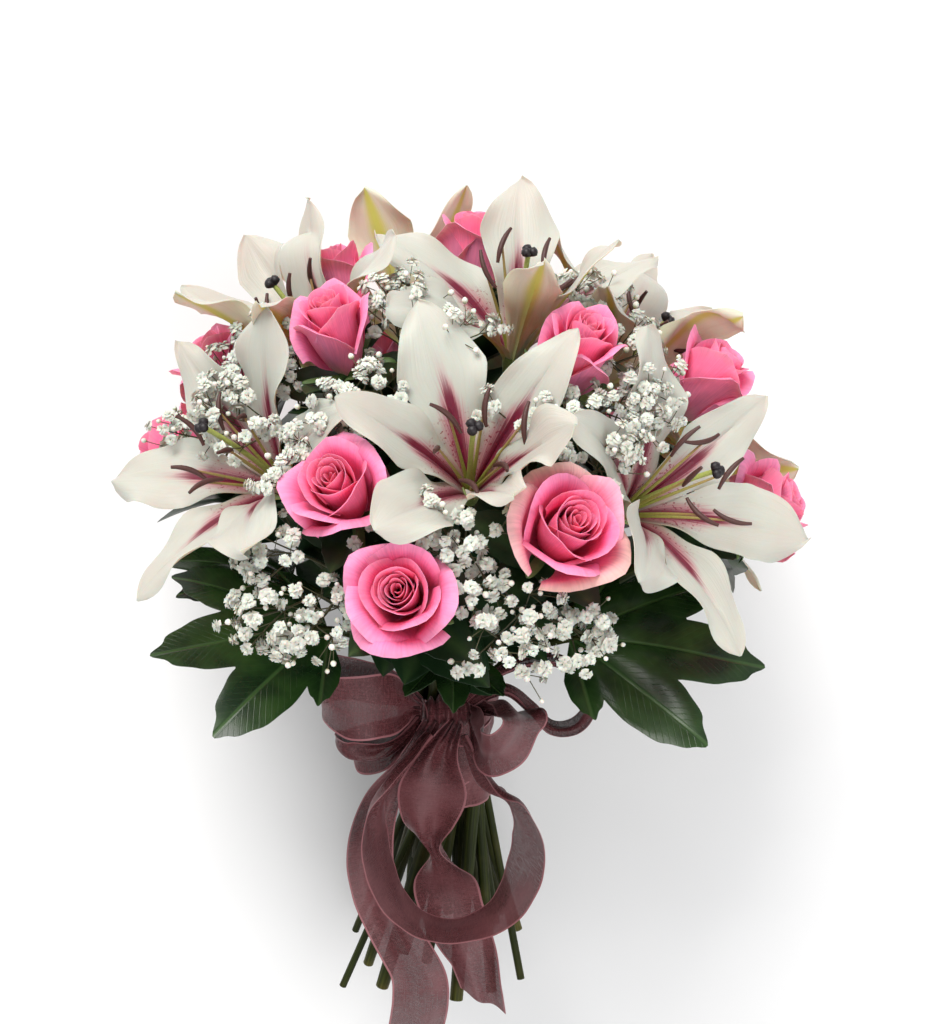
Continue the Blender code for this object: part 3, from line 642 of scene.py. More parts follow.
def stem_paint():
    """Dark green skin with fibres along it and browner patches."""
    paint = Paint("stem_skin", Roughness=0.52, Specular_IOR_Level=0.14)
    fibre = paint.streaks(9, 16, 5)
    green = paint.mix(fibre.step(0.35, 0.7), (0.010, 0.015, 0.002), (0.034, 0.044, 0.007))
    green = paint.mix(paint.cloud(45).step(0.45, 0.75, 0.0, 0.5), green, (0.070, 0.062, 0.016))
    paint.colour(paint.mix(1.0, green, paint.tint(), "MULTIPLY"))
    paint.bump(fibre, 0.5, 0.0008)
    return paint.material


def part_paint(name, roughness, grain_scale, depth, **values):
    """A small part that shows its own tint, with a little grain."""
    paint = Paint(name, Roughness=roughness, **values)
    grain = paint.cloud(grain_scale)
    paint.shaded_tint(grain.step(0.3, 0.7, 0.86, 1.06))
    paint.bump(grain, 0.5, depth)
    return paint.material


def organza_paint():
    """Sheer crossed threads, with a dense satin thread along each edge."""
    dark, mauve = (0.074, 0.015, 0.018), (0.124, 0.032, 0.036)
    bright, speckle, satin = (0.192, 0.063, 0.069), (0.232, 0.090, 0.098), (0.28, 0.105, 0.116)
    paint = Paint("organza", Roughness=0.42, Specular_IOR_Level=0.30, Sheen_Weight=0.22,
                  Sheen_Roughness=0.35, Sheen_Tint=(1.0, 0.72, 0.76, 1.0))
    hem = paint.along_side()[1].step(0.925, 0.948)
    threads = (paint.streaks(6, 150, 2) + paint.streaks(520, 5, 2)) * 0.5
    cloud = paint.cloud(26)
    body = paint.mix(threads.step(0.38, 0.62), dark, mauve)
    body = paint.mix(cloud.step(0.42, 0.70, 0.0, 0.75), body, bright)
    body = paint.mix(paint.cloud(700, 1).step(0.45, 0.75, 0.0, 0.35), body, speckle)
    paint.colour(paint.mix(hem, body, satin))
    opacity = threads.step(0.35, 0.65, 0.67, 0.84) + cloud.step(0.3, 0.7, -0.06, 0.06)
    connect(opacity.maximum(hem), paint.shader.inputs["Alpha"])
    paint.bump(threads, 0.15, 0.0003)
    return paint.material


ROSE_PETAL = petal_paint()
LILY_TEPAL = tepal_paint()
FLOWER_PART = part_paint("flower_part", 0.5, 900, 0.0004)
CALYX_GREEN = part_paint("calyx_green", 0.6, 300, 0.0005)
BREATH_PETAL = part_paint("breath_petal", 0.75, 500, 0.0004,
                          Subsurface_Weight=0.35, Subsurface_Scale=0.003)
BLADE_GREEN = leaf_paint()
STEM_SKIN = stem_paint()
ORGANZA = organza_paint()
TWIG_BROWN = part_paint("twig_brown", 0.6, 400, 0.0003)
LEAFLET_GREEN = part_paint("leaflet_green", 0.35, 160, 0.0006)


# Roses


def petal_rows(turn, foot, wide, rank, middle, dice):
    """A petal's grid: it rises from the receptacle, bellies out and rolls its rim, more so further out.

    rank goes from 0 in the heart to 1 outside.
    """
    reach = wide * (0.07 + 0.93 * rank**1.05)
    wrap = radians(66 + 50 * (1 - rank) ** 1.5 + dice.uniform(-5, 5))
    top = ROSE_HEIGHT * (0.90 + 0.05 * sin(pi * min(1, rank * 1.3)) - 0.15 * rank**3)
    top += ROSE_HEIGHT * dice.uniform(-0.018, 0.018)
    low = ROSE_HEIGHT * 0.05
    base = wide * (0.10 + 0.06 * rank)
    rolling = radians(8 + 125 * rank**2.6 * dice.uniform(0.75, 1.1))
    rim_start = 0.80 - 0.06 * rank
    closing = 0.24 * (1 - smooth(rank * 1.25)) * reach
    peak_at, peak = dice.uniform(-0.14, 0.14), 0.13 * smooth((rank - 0.35) * 2)
    drop = 0.24 + 0.24 * smooth((rank - 0.45) * 2)
    phase, tipped, lean = dice.uniform(0, 6.3), dice.uniform(-0.05, 0.07), dice.uniform(-0.05, 0.05)

    def profile(share, rise):
        """The distance from the axis and the height at a share of the petal's rise."""
        belly = sin(min(1, share * 1.18) * pi / 2) ** 0.75
        r = base + (reach - base) * belly - closing * smooth((share - 0.45) / 0.55)
        return r + reach * 0.10 * rank * smooth((share - 0.5) * 2), low + rise * share

    def point(v, u):
        rise = top * (1 - drop * abs(u) ** 2.5 + peak * exp(-(((u - peak_at) / 0.22) ** 2))) - low
        if v <= rim_start:
            r, z = profile(v, rise)
        else:
            r0, z0 = profile(rim_start, rise)
            r1, z1 = profile(rim_start - 0.03, rise)
            heading = atan2(r0 - r1, z0 - z1)
            bend = rolling * (1 + 0.25 * u * u) / (rise * (1 - rim_start))
            angle = heading + bend * (rise * (v - rim_start))
            r = r0 + (cos(heading) - cos(angle)) / bend
            z = z0 + (sin(angle) - sin(heading)) / bend
        r += wide * 0.040 * sin(4.4 * u + phase) * v**3 * (0.2 + rank)
        r += wide * 0.016 * sin(10 * u + 2 * phase) * v**5 * rank
        r += wide * (0.05 * u * u * rank * v + tipped * v * rank)
        r += reach * 0.05 * u * v * (1 - rank)
        z += ROSE_HEIGHT * lean * u * v * rank
        spread = 0.36 + 0.64 * sin(pi / 2 * min(1.0, v * 1.4))
        return foot + turn @ ring(middle + wrap * u * spread, r, z)

    return surface(*PETAL_GRID, point)


def petal_tint(rank, shift, ripe):
    """A petal's colours: deep in the heart, paler outside and at its rim, creamy at its foot behind, and
    painted shade towards its foot in front, deep in the cup.
    """
    heart, skin, outer = (0.86, 0.034, 0.140), (0.95, 0.100, 0.290), (0.95, 0.200, 0.400)
    # The darkest of these three colours is painted shade for the inside of the cup.
    behind, rim, painted_shade = (0.82, 0.27, 0.38), (0.97, 0.37, 0.55), (0.62, 0.05, 0.12)
    creamy, faded = (0.70, 0.46, 0.34), (0.84, 0.55, 0.38)
    if rank < 0.5:
        petal = mixed(heart, skin, smooth(rank / 0.5))
    else:
        petal = mixed(skin, outer, smooth((rank - 0.5) * 2))

    def tint(v, u, side):
        if side > 0:
            colour = mixed(petal, rim, 0.55 * smooth((v - 0.78) / 0.22))
            # Painted shade: the front darkens towards the petal's foot, where the petals round it shade the
            # cup.
            colour = mixed(colour, painted_shade, 0.35 * smooth((0.75 - v) / 0.5))
        else:
            colour = mixed(petal, behind, 0.45 * smooth(rank * 1.4))
            colour = mixed(colour, rim, 0.55 * smooth((v - 0.78) / 0.22))
            colour = mixed(colour, creamy, 0.6 * smooth((0.34 - v) / 0.34))
        if ripe and rank > 0.78:
            colour = mixed(colour, faded, 0.65 * smooth((v - 0.55) * 2.2) * smooth((rank - 0.78) * 6))
        return tuple(max(0.0, c * (1 + shift)) for c in colour)

    return tint


def rose(key, centre, axis, radius):
    """Petals on a golden-angle spiral: tight and upright in the heart, broad and rolled back outside."""
    dice = random.Random(int(key) * 17)
    turn = facing(axis, dice.uniform(0, 360))
    foot = centre - axis * (ROSE_HEIGHT * SEAT_SHARE)
    shape = Shape()
    opening = TIGHT_OPENING if key in TIGHT_ROSES else 1.0
    ranks = [0.46 * share**0.85 for share in shares(HEART_PETALS)] + OUTER_RANKS
    for i, rank in enumerate(ranks):
        rank = opening * (rank + dice.uniform(-0.018, 0.018) * (0 < i < len(ranks) - 1))
        middle = radians(GOLDEN_ANGLE * i) + dice.uniform(-0.3, 0.3)
        rows = petal_rows(turn, foot, radius * PETAL_REACH, rank, middle, dice)
        shape.grid(rows, petal_tint(rank, dice.uniform(-0.06, 0.06), key == RIPE_ROSE), PETAL_THICKNESS)
    make(f"rose_petals_{key}", "rose_pink", shape, ROSE_PETAL, nodes=[f"rose_bloom_{key}"])

    calyx = Shape()
    cup = [(0.0035, 0.0004), (0.0050, 0.0024), (0.0060, 0.0059), (0.0052, 0.0094)]
    calyx.tube([foot + axis * z for _, z in cup], [r for r, _ in cup], 14, CUP_GREEN)
    for k in range(SEPALS):
        middle = radians(360 / SEPALS * k + dice.uniform(-8, 8))
        outward, sideways = ring(middle), ring(middle + pi / 2)
        droop = dice.uniform(0.1, 0.9)
        rows = []
        for v in shares(10):
            half = 0.0042 * (1 - v) ** 0.7 * (0.7 + 0.7 * v)
            r = 0.0052 + 0.021 * v + 0.004 * sin(v * 3)
            z = 0.004 + 0.017 * v * (1 - 1.25 * droop * v)
            at = outward * r + Vector((0, 0, z))
            sepal = [at + sideways * half * u - Vector((0, 0, 0.001 * u * u)) for u in sides(5)]
            rows.append([foot + turn @ point for point in sepal])
        calyx.grid(rows, SEPAL_GREEN, SEPAL_THICKNESS)
    make(f"rose_calyx_{key}", "stem_green", calyx, CALYX_GREEN)


# Lilies


def tepal_rows(width, opening, curl, grid=(7, 3), dice=None):
    """The middle surface of one tepal: it rises from the throat, opens outwards and curls at its tip.

    With dice it is the fine one, with a wavy margin, a groove along its midrib and a slight twist.
    """
    count, across = grid
    rho, z = 0.0015, 0.004
    stride = TEPAL_LENGTH / (count - 1)
    if dice:
        phase, ruffle = dice.uniform(0, 6.3), width * dice.uniform(0.055, 0.085)
        twist, skew = dice.uniform(-0.32, 0.32), dice.uniform(-1, 1)
    rows = []
    for t in shares(count):
        if dice:
            outline = max(sin(pi * t**0.90), 0.0) ** 0.60 * (1 - 0.10 * t**6) + 0.012
        else:
            outline = max(sin(pi * t**0.8), 0.05) ** 0.8
        half = min(0.5 * width * outline, 0.0015 + 0.45 * rho)
        lean = radians(18 + (opening - 18) * (1 - exp(-4.5 * t)) + curl * t**3)
        row = []
        for s in sides(across):
            lift = half * 0.4 * (1 - t) * s * s
            if dice:
                free = smooth((t - 0.10) / 0.35)
                lift += ruffle * sin(5.2 * t * pi + phase + 1.4 * s) * free * abs(s) ** 2.5
                lift += half * twist * s * t * t + half * 0.10 * skew * s * s * s * free
                lift -= 0.0016 * exp(-((s / 0.09) ** 2)) * smooth((1 - t) * 3)
                lift += 0.0005 * cos(s * 13) * free * (1 - t)
                lift -= half * 0.30 * s * s * smooth((t - 0.72) / 0.28)
            row.append(Vector((rho - lift * cos(lean), s * half, z + lift * sin(lean))))
        rows.append(row)
        rho += stride * sin(lean)
        z += stride * cos(lean)
    return rows


def crowding(point, bloom):
    """How far inside a rose bloom's rounded outline a point is: 1 or more is clear of it."""
    centre, axis, radius = bloom
    offset = point - centre
    up = offset.dot(axis)
    aside = (offset - up * axis).length
    wide, tall = radius + CLEARANCE, ROSE_HEIGHT / 2 + CLEARANCE
    return ((aside / wide) ** 4 + (up / tall) ** 4) ** 0.25


def kept_clear(point, blooms):
    for bloom in blooms:
        depth = crowding(point, bloom)
        if 0 < depth < 1:
            point = bloom[0] + (point - bloom[0]) / depth
    return point


def opening_share(placed, width, opening, blooms):
    """How far a tepal opens: as far as the roses round it leave room for. Also whether it clears them."""
    best, most_room = 1.0, -1
    for share in (1.0, 0.88, 0.76, 0.64, 0.52, 0.4, 1.15, 1.3):
        rows = tepal_rows(width, opening * share, 22 * share)
        room = min(crowding(placed(point), bloom) for row in rows for point in row for bloom in blooms)
        if room >= 1:
            return share, True
        if room > most_room:
            best, most_room = share, room
    return best, False


def lily(key, throat, axis, spin, blooms):
    """Three broad and three narrow tepals, a neck, a style with its three-lobed stigma, and six stamens."""
    dice = random.Random(int(key) * 31)
    turn = facing(axis, spin)

    def placed(local):
        return throat + turn @ local

    shape = Shape()
    for tepal in range(TEPALS):
        plain, full, opening = TEPAL_KINDS[tepal % 2]
        around = Matrix.Rotation(radians(360 / TEPALS * tepal), 3, "Z")
        share, is_clear = opening_share(lambda p: placed(around @ p), plain, opening, blooms)
        fine = tepal_rows(full, opening * share, 26 * share, TEPAL_GRID, dice)
        rows = [[placed(around @ point) for point in row] for row in fine]
        if not is_clear:
            rows = [[kept_clear(point, blooms) for point in row] for row in rows]
        shape.grid(rows, lambda v, u, side: WHITE if side > 0 else BLACK, TEPAL_THICKNESS)
    make(f"lily_tepals_{key}", "lily_white", shape, LILY_TEPAL, nodes=[f"lily_bloom_{key}"])

    heart = Shape()
    neck = [(0.0040, 0.0), (0.0050, 0.006), (0.0056, 0.012)]
    heart.tube([placed(Vector((0, 0, z))) for _, z in neck], [r for r, _ in neck], 14, NECK_GREEN)
    style = [placed(Vector((0.004 * sin(z * 30), 0, z))) for z in np.linspace(0.006, 0.074, 12)]
    heart.tube(style, [0.0024 - 0.0010 * smooth(k / 6) for k in range(12)], 10, STYLE_GREEN)
    tip = style[-1]
    for k in range(3):
        out = turn @ direction(120 * k + 20, 62)
        lobe = [tip - axis * 0.001, tip + out * 0.0022, tip + out * 0.0040, tip + out * 0.0049]
        heart.tube(lobe, [0.0014, 0.0027, 0.0025, 0.0010], 10, STIGMA_TINT)
    for k in range(STAMENS):
        stamen(heart, 360 / STAMENS * (k + 0.5), placed, turn, dice)
    make(f"lily_heart_{key}", "lily_white", heart, FLOWER_PART)


def stamen(shape, angle, placed, turn, dice):
    """A filament that bows outwards, and the anther that hangs across its tip."""
    stops = shares(9)
    way = direction(angle + dice.uniform(-9, 9), 17 + dice.uniform(-3, 5))
    outward = Vector((way.x, way.y, 0))
    start = Vector((0.003 * way.x, 0.003 * way.y, 0.008))
    end = Vector((0, 0, 0.010)) + way * (0.058 + dice.uniform(-0.004, 0.004))
    filament = [placed(start.lerp(end, s) + outward * (0.012 * s * s)) for s in stops]
    radii = [0.0012 - 0.0006 * s for s in stops]
    shape.tube(filament, radii, 8, lambda s: mixed(FILAMENT_FOOT, FILAMENT_TIP, s))
    hang = turn @ direction(angle + dice.uniform(-70, 70), 38 + dice.uniform(-14, 26))
    side = hang.orthogonal().normalized()
    length = 0.0205 + dice.uniform(-0.001, 0.0015)
    tip = filament[-1]
    anther = [tip + hang * (length * (s - 0.5)) + side * (0.0024 * (2 * s - 1) ** 2) for s in stops]
    radii = [0.0015 * max(0.35, sin(pi * (0.06 + 0.88 * s))) ** 0.5 for s in stops]
    shape.tube(anther, radii, 8, ANTHER_TINT)


# Stems


def gather(stems):
    """Packs the stems round the axis at the tie. Each is a radius and the point that it climbs to."""
    turn, spread = radians(-42), 0.034
    slack, pull, push_back = 1.07, 0.994, 0.26
    pulls, settles, rounds = 900, 300, 6
    radii = np.array([radius for radius, _ in stems])
    places = []
    for _, target in stems:
        outward = target - FOCUS
        polar = atan2(hypot(outward.x, outward.y), outward.z)
        azimuth = atan2(outward.y, outward.x) + turn
        places.append(complex(cos(azimuth), sin(azimuth)) * spread * polar)
    places = np.array(places)
    apart = (radii[:, None] + radii[None, :] + GAP) * slack
    np.fill_diagonal(apart, 0)
    for step in range(pulls + settles):
        if step < pulls:
            places *= pull
        for _ in range(rounds):
            offset = places[:, None] - places[None, :]
            distance = np.abs(offset) + np.eye(len(radii))
            push = np.maximum(apart - distance, 0) * push_back
            places = places + (offset / distance * push).sum(axis=1)
    return [complex(p) for p in places]


def spiral(waist, z):
    """Where a stem's waist has turned to at a height."""
    at = waist * (1 + 1j * TURN_PER_METRE * z)
    return Vector((at.real, at.imag, z))


# Stops on a stem's straight stretch, and the stop at which it forks to another flower
STRAIGHT_STOPS = 15
FORK_STOP = 17


def stem_path(waist, below, seat, axis):
    """A straight stretch through the tie, then a bend that arrives at the seat along the flower's axis."""
    low, splay = spiral(waist, -below), spiral(waist, SPLAY_HEIGHT)
    leaving = (splay - low).normalized()
    neck = seat - axis * NECK
    reach = (neck - splay).length
    bend = hermite(splay, leaving * reach * 0.7, neck, axis * reach * 0.8, 18)
    straight = [low.lerp(splay, s) for s in np.linspace(0, 1, STRAIGHT_STOPS)]
    return [*straight, *bend, seat]


def stem(path, radius, seed):
    """A stem with swollen joints along it and a paler cut end."""
    dice = random.Random(seed)
    joints = [dice.uniform(0.02, 0.98) * len(path) for _ in range(4)]
    places = [dice.uniform(0, 6.3) for _ in joints]

    def lumps(i, angle):
        swell = 1 + 0.05 * noise.noise(Vector((i * 0.7, cos(angle) * 1.2 + seed, sin(angle) * 1.2)))
        for joint, place in zip(joints, places):
            near = exp(-(((i - joint) / 0.8) ** 2))
            swell += near * (0.05 + 0.16 * max(0, cos(angle - place)))
        return swell if i > 0 else swell * 0.97

    shape = Shape()
    shape.tube(path, [radius * 0.955] * len(path), 14,
               lambda s: STEM_TINT if s > 0.012 else CUT_TINT, lumps=lumps)
    return shape


# Leaves


def leaf(key, root, azimuth, tilt, roll, size, waist, below):
    """A lobed blade with raised quilting between its ribs, on its stalk."""
    dice = random.Random(int(key) * 7)
    lobes = ((0, 1.0), (36, 0.95), (-36, 0.92), (69, 0.52), (-69, 0.50))
    far, wide, long = 0.60, 0.205, 0.40
    outward = direction(azimuth, 90)
    level = Vector((0, 0, 1)).cross(outward).normalized()
    flat = outward * sin(radians(tilt)) + Vector((0, 0, cos(radians(tilt))))
    sideways = level * cos(radians(roll)) - flat.cross(level) * sin(radians(roll))
    normal = flat.cross(sideways)
    phase = dice.uniform(0, 6)
    whole = LEAF_LENGTH * size
    rows, uvs = [], []
    for degrees in range(-90, 91):
        angle = radians(degrees)
        best = 0.16
        for middle, reach in lobes:
            aside = radians(degrees - middle)
            p = cos(aside) / long**2
            q = (cos(aside) / long) ** 2 + (sin(aside) / wide) ** 2
            inner = (p * far) ** 2 - q * ((far / long) ** 2 - 1)
            if inner > 0:
                tip = 0.05 * exp(-(((degrees - middle) / 2.6) ** 2))
                best = max(best, reach * ((p * far + sqrt(inner)) / q + tip))
            elif abs(degrees - middle) < 25:
                best = max(best, reach * 0.56)
        edge = best * whole * (1 + 0.010 * sin(degrees * 0.9 + phase))
        off_rib = min(abs(degrees - middle) for middle, _ in lobes)
        row, row_uvs = [], []
        for r in edge * np.linspace(0.02, 1.0, 21):
            quilt = 0.0016 * sin(min(1, off_rib / 18) * pi / 2) * min(1, r / 0.02)
            ripple = 0.0022 * sin(degrees * 0.11 + r * 55 + phase) * (r / whole) ** 2
            up = quilt + ripple - 0.5 * r * r / (LEAF_LENGTH * 2)
            row.append(root + flat * r * cos(angle) + sideways * r * sin(angle) + normal * up)
            row_uvs.append((0.5 + degrees / LEAF_SPAN, r / whole))
        rows.append(row)
        uvs.append(row_uvs)

    shape = Shape()
    shape.grid(rows, lambda v, u, side: WHITE if side < 0 else BLACK, BLADE_THICKNESS, uvs=uvs)
    path = stem_path(waist, below, root + flat * 0.012, flat)
    narrowing = [0.95] * (len(path) - 4) + [0.85, 0.75, 0.65, 0.5]
    shape.tube(path, [STALK_RADIUS * k for k in narrowing], 10, number=1)
    make(f"leaf_blade_{key}", "leaf_green", shape, BLADE_GREEN, STEM_SKIN, nodes=[f"leaf_{key}"])


def leaflet_tint(v, u, side):
    return mixed(LEAFLET_DARK, LEAFLET_RIB, 0.7 * exp(-((u / 0.14) ** 2)))


def leaflets(key, path, obstacles):
    """Small dark leaves on a rose's stem, below its bloom, where the flowers round them leave room."""
    dice = random.Random(int(key) * 53)
    shape = Shape()
    tries, room = 8, 0.0025
    for stop, count in ((-3, 3), (-5, 3), (-7, 4), (-9, 4), (-12, 4)):
        root = path[stop]
        forward = (path[stop + 1] - root).normalized()
        aside = facing(forward, dice.uniform(0, 360))
        for k in range(count):
            for _ in range(tries):
                way = aside @ direction(360 * k / count + dice.uniform(-40, 40), dice.uniform(38, 78))
                long, wide = dice.uniform(0.038, 0.060), dice.uniform(0.012, 0.017)
                side = way.cross(forward).normalized()
                normal = side.cross(way)
                rows = []
                for a, v in enumerate(shares(13)):
                    half = wide * sin(pi * v**0.8) ** 0.85 * (1 + 0.05 * (a % 2)) + 0.0003
                    middle = root + way * long * v - normal * (0.009 * v * v - 0.004 * v)
                    rows.append([middle + side * half * u + normal * 0.30 * half * abs(u) for u in sides(5)])
                spots = [point for row in rows[3:] for point in (row[0], row[2], row[4])]
                if min(obstacles.find_nearest(spot)[3] for spot in spots) > room:
                    shape.grid(rows, leaflet_tint, LEAFLET_THICKNESS)
                    break
    if shape.faces:
        make(f"rose_leaflets_{key}", "leaf_green", shape, LEAFLET_GREEN)


# Baby's breath


def floret(shape, centre, up, size, dice):
    """A tiny double flower: whorls of narrow notched petals that crowd to a ruffled ball on a green cup."""
    turn = facing(up, dice.uniform(0, 360))
    white = 0.68 + dice.uniform(-0.07, 0.05)
    petal = (white, white * 0.975, white * 0.86)
    whorls = ((88, 6, 1.0), (62, 6, 0.96), (36, 5, 0.88), (12, 3, 0.75))
    for whorl, (lean, count, reach) in enumerate(whorls):
        for k in range(count):
            angle = radians(360 * k / count + 31 * whorl + dice.uniform(-14, 14))
            tilt = radians(lean + dice.uniform(-14, 14))
            out, side = ring(angle), ring(angle + pi / 2)
            long = size * reach * dice.uniform(0.82, 1.08)
            ruffle = dice.uniform(-0.12, 0.12) * long
            rows = []
            for v in shares(4):
                bend = tilt + 0.55 * v
                at = out * (long * v * sin(bend)) + Vector((0, 0, long * v * cos(bend)))
                half = long * 0.36 * (0.22 + v * (1.65 - 0.75 * v))
                notch = 0.16 * long if v == 1 else 0
                lift = Vector((0, 0, 0.10 * long * v - notch))
                row = [at - side * half + out * ruffle * v, at + lift, at + side * half - out * ruffle * v]
                rows.append([centre + turn @ p for p in row])
            shape.grid(rows, lambda v, u, side: mixed(FLORET_CUP, petal, smooth(v * 4)))


def bud(shape, centre, up, size, dice):
    """A round bud, green below and white above."""
    path = [centre + up * size * (s - 0.5) for s in (0, 0.2, 0.5, 0.8, 1.0)]
    white = 0.74 + dice.uniform(-0.08, 0.04)
    radii = [size * k for k in (0.16, 0.40, 0.48, 0.36, 0.10)]
    shape.tube(path, radii, 7, lambda s: mixed(BUD_CUP, (white, white, white * 0.9), smooth(s * 2)))


florets_at = []


def is_free(spot, obstacles):
    """Whether a floret fits at a spot: outside the big flowers and leaves, and apart from other florets."""
    near, outward, _, distance = obstacles.find_nearest(spot)
    if near is None or distance < FLORET_ROOM:
        return False
    if (near - spot).dot(outward) > 0 and distance < 0.012:
        return False
    return all((spot - other).length >= FLORET_SPACING for other in florets_at)


def sprig(key, fork, clusters, waist, below, obstacles):
    """A stalk that forks again and again to airy sprays of florets and buds, clear of the big flowers."""
    dice = random.Random(int(key) * 101)
    flowers, twigs = Shape(), Shape()
    path = stem_path(waist, below, fork, (fork - AIM).normalized())
    radii = [SPRIG_RADIUS * 0.95] * (len(path) - 8) + list(np.linspace(0.0015, 0.0009, 8))
    twigs.tube(path, radii, 8, TWIG)
    leaving = (path[-1] - path[-3]).normalized()
    for azimuth, polar, reach in clusters:
        out = direction(azimuth, polar)
        heart = FOCUS + out * (reach - 0.040)
        main = [fork, *hermite(fork, leaving * 0.05, heart, out * 0.04, 7)]
        twigs.tube(main, list(np.linspace(0.0008, 0.00055, 8)), 6, TWIG)
        aside = facing(out)
        for spray in range(SPRAYS):
            angle = 360 * spray / (SPRAYS - 1) + dice.uniform(-20, 20)
            way = aside @ direction(angle, dice.uniform(24, 62) if spray else 0)
            knee = heart + way * dice.uniform(0.012, 0.024)
            start = heart - out * dice.uniform(0.0, 0.008)
            bend = hermite(start, out * 0.01, knee, way * 0.01, 4)
            twigs.tube([start, *bend], [0.00042] * 5, 5, TWIG)
            outer = facing((way + out * 0.7).normalized())
            for _ in range(FLORETS):
                tilt = outer @ direction(dice.uniform(0, 360), dice.uniform(5, 66))
                spot = knee + tilt * dice.uniform(0.006, 0.019)
                if not is_free(spot, obstacles):
                    continue
                florets_at.append(spot)
                stalk = [knee, *hermite(knee, way * 0.006, spot, tilt * 0.006, 3)]
                twigs.tube(stalk, [0.00026] * 4, 4, TWIG)
                if dice.random() < BUD_SHARE:
                    bud(flowers, spot, tilt, dice.uniform(0.0024, 0.0038), dice)
                else:
                    floret(flowers, spot - tilt * 0.0008, tilt, dice.uniform(0.0031, 0.0045), dice)
    make(f"breath_florets_{key}", "breath_white", flowers, BREATH_PETAL, nodes=[f"breath_sprig_{key}"])
    make(f"breath_twigs_{key}", "breath_white", twigs, TWIG_BROWN)


# Ribbon


def unpacked(route):
    """A route's points in metres, its directions of the width, and its shares of the width."""
    points = [Vector([c / 1000 for c in stop[:3]]) for stop in route]
    return points, [Vector(stop[3:6]) for stop in route], [stop[6] for stop in route]


# The length of ribbon that the weave's streaks are stretched over
WEAVE_LENGTH = 0.25


def ribbon(name, rows, nodes, length=None):
    """Makes a piece of the ribbon from its grid, with its weave stretched over its length: that of its
    midline unless one is given.
    """
    length = length or path_length([row[len(row) // 2] for row in rows])
    shape = Shape()
    shape.grid(rows, thickness=CLOTH_THICKNESS, edge=1, stretch=length / WEAVE_LENGTH)
    obj = make(name, "ribbon_mauve", shape, ORGANZA, nodes=nodes, press=False)


def strip(name, node, route, count, seed, cut=0.0):
    """A ribbon along its route. Where it is drawn narrow, its width goes into pleats that run along it.

    Its end is cut on a slant: cut is how far one edge runs on, as a share of the half width.
    """
    dice = random.Random(seed)
    points, widths, width_shares = unpacked(route)
    widths = [wide.normalized() for wide in widths]
    middles = spline_points(points, count)
    length = path_length(middles)
    phase, drift, bow = dice.uniform(0, 6.3), dice.uniform(-1, 1), dice.choice((-1, 1))
    rows = []
    for k, (run, middle) in enumerate(zip(shares(count), middles)):
        wide = spline_at(widths, run * (len(route) - 1))
        share = spline_at(width_shares, run * (len(route) - 1))
        along = (middles[min(k + 1, count - 1)] - middles[max(k - 1, 0)]).normalized()
        wide = (wide - along * wide.dot(along) * 0.6).normalized()
        normal = along.cross(wide).normalized()
        folded = sqrt(max(0.0, 1 - (share * RIBBON_WIDTH / CLOTH_WIDTH) ** 2))
        tight = smooth((0.46 - share) / 0.30)
        row = []
        for s in sides(STRIP_ACROSS):
            pleat = sin(4.2 * pi * s + phase + drift * run * 3)
            pleat += 0.35 * sin(6.8 * pi * s + 2 * phase + 4 * run)
            wave = sin(1.35 * pi * s + 0.6 * sin(3 * run + phase)) * bow
            lift = 0.0020 * folded * tight * pleat + 0.0034 * folded * (1 - tight) * wave
            lift += 0.0010 * noise.noise(Vector((s * 1.2, run * length * 30, seed * 3.1)))
            lift += 0.0002 * abs(s) ** 6 * sin(run * length * 300 + 3 * s)
            half = RIBBON_WIDTH * share / 2
            slant = along * half * cut * s * smooth((run - 0.8) / 0.2)
            row.append(middle + wide * half * s + slant + normal * lift)
        rows.append(row)
    ribbon(name, rows, [node], length)


def wrap(name, waists, radii, middle, width, slant, out, seed, nodes=()):
    """One slanting turn of the ribbon round the stems."""
    lowest, highest = -0.0375, 0.0370

    def point(run, s):
        angle = 2 * pi * run - pi / 2
        ray = complex(cos(angle), sin(angle))
        support = max((waist * ray.conjugate()).real + r * 1.11 for waist, r in zip(waists, radii))
        z = middle + slant * 0.05 * cos(angle + seed) + s * width / 2
        z = min(max(z, lowest), highest)
        crease = 0.0007 * sin(5.5 * s + 2.5 * sin(angle * 2 + seed) + seed)
        crease += 0.0006 * noise.noise(Vector((cos(angle) * 3, sin(angle) * 3, s * 3 + seed)))
        return spiral(ray * (support + (out + 0.0006 + crease)), z)

    ribbon(name, surface(*WRAP_GRID, point), nodes)


def knot():
    """The folded turn in front of the wraps."""

    def point(run, s):
        angle = 2 * pi * run
        girth = 0.0066 + 0.0018 * (1 - s * s) + 0.0018 * sin(16 * s + 2 * sin(angle))
        x = 0.0125 * s + 0.002 * sin(angle)
        middle = Vector((x, -0.0365, 0.0375 + 0.1 * x))
        return middle + Vector((0, -girth * 0.85 * sin(angle), girth * cos(angle)))

    ribbon("ribbon_knot", surface(*KNOT_GRID, point), ())


# The whole bouquet: where each flower sits, and where its stem passes the tie

roses = {}
for key, (azimuth, polar, reach, radius, _) in ROSES.items():
    centre = on_dome(azimuth, polar, reach)
    roses[key] = (centre, (centre - AIM).normalized(), radius)
throats = {}
for key, (azimuth, polar, reach, face_azimuth, face_polar, _) in LILIES.items():
    throats[key] = (on_dome(azimuth, polar, reach), direction(face_azimuth, face_polar))
roots = {key: on_dome(*place) for key, (*place, _, _, _, _, _) in LEAVES.items()}
forks = {key: on_dome(*fork, FORK_REACH) for key, (fork, _, _) in SPRIGS.items()}
climbing = [(ROSE_STEM_RADIUS, centre) for centre, _, _ in roses.values()]
climbing += [(LILY_STEM_RADIUS, throats[keys[0]][0]) for keys, _ in LILY_STEMS.values()]
climbing += [(STALK_RADIUS, root) for root in roots.values()]
climbing += [(SPRIG_RADIUS, fork) for fork in forks.values()]
waists = gather(climbing)
at_waist = iter(waists)

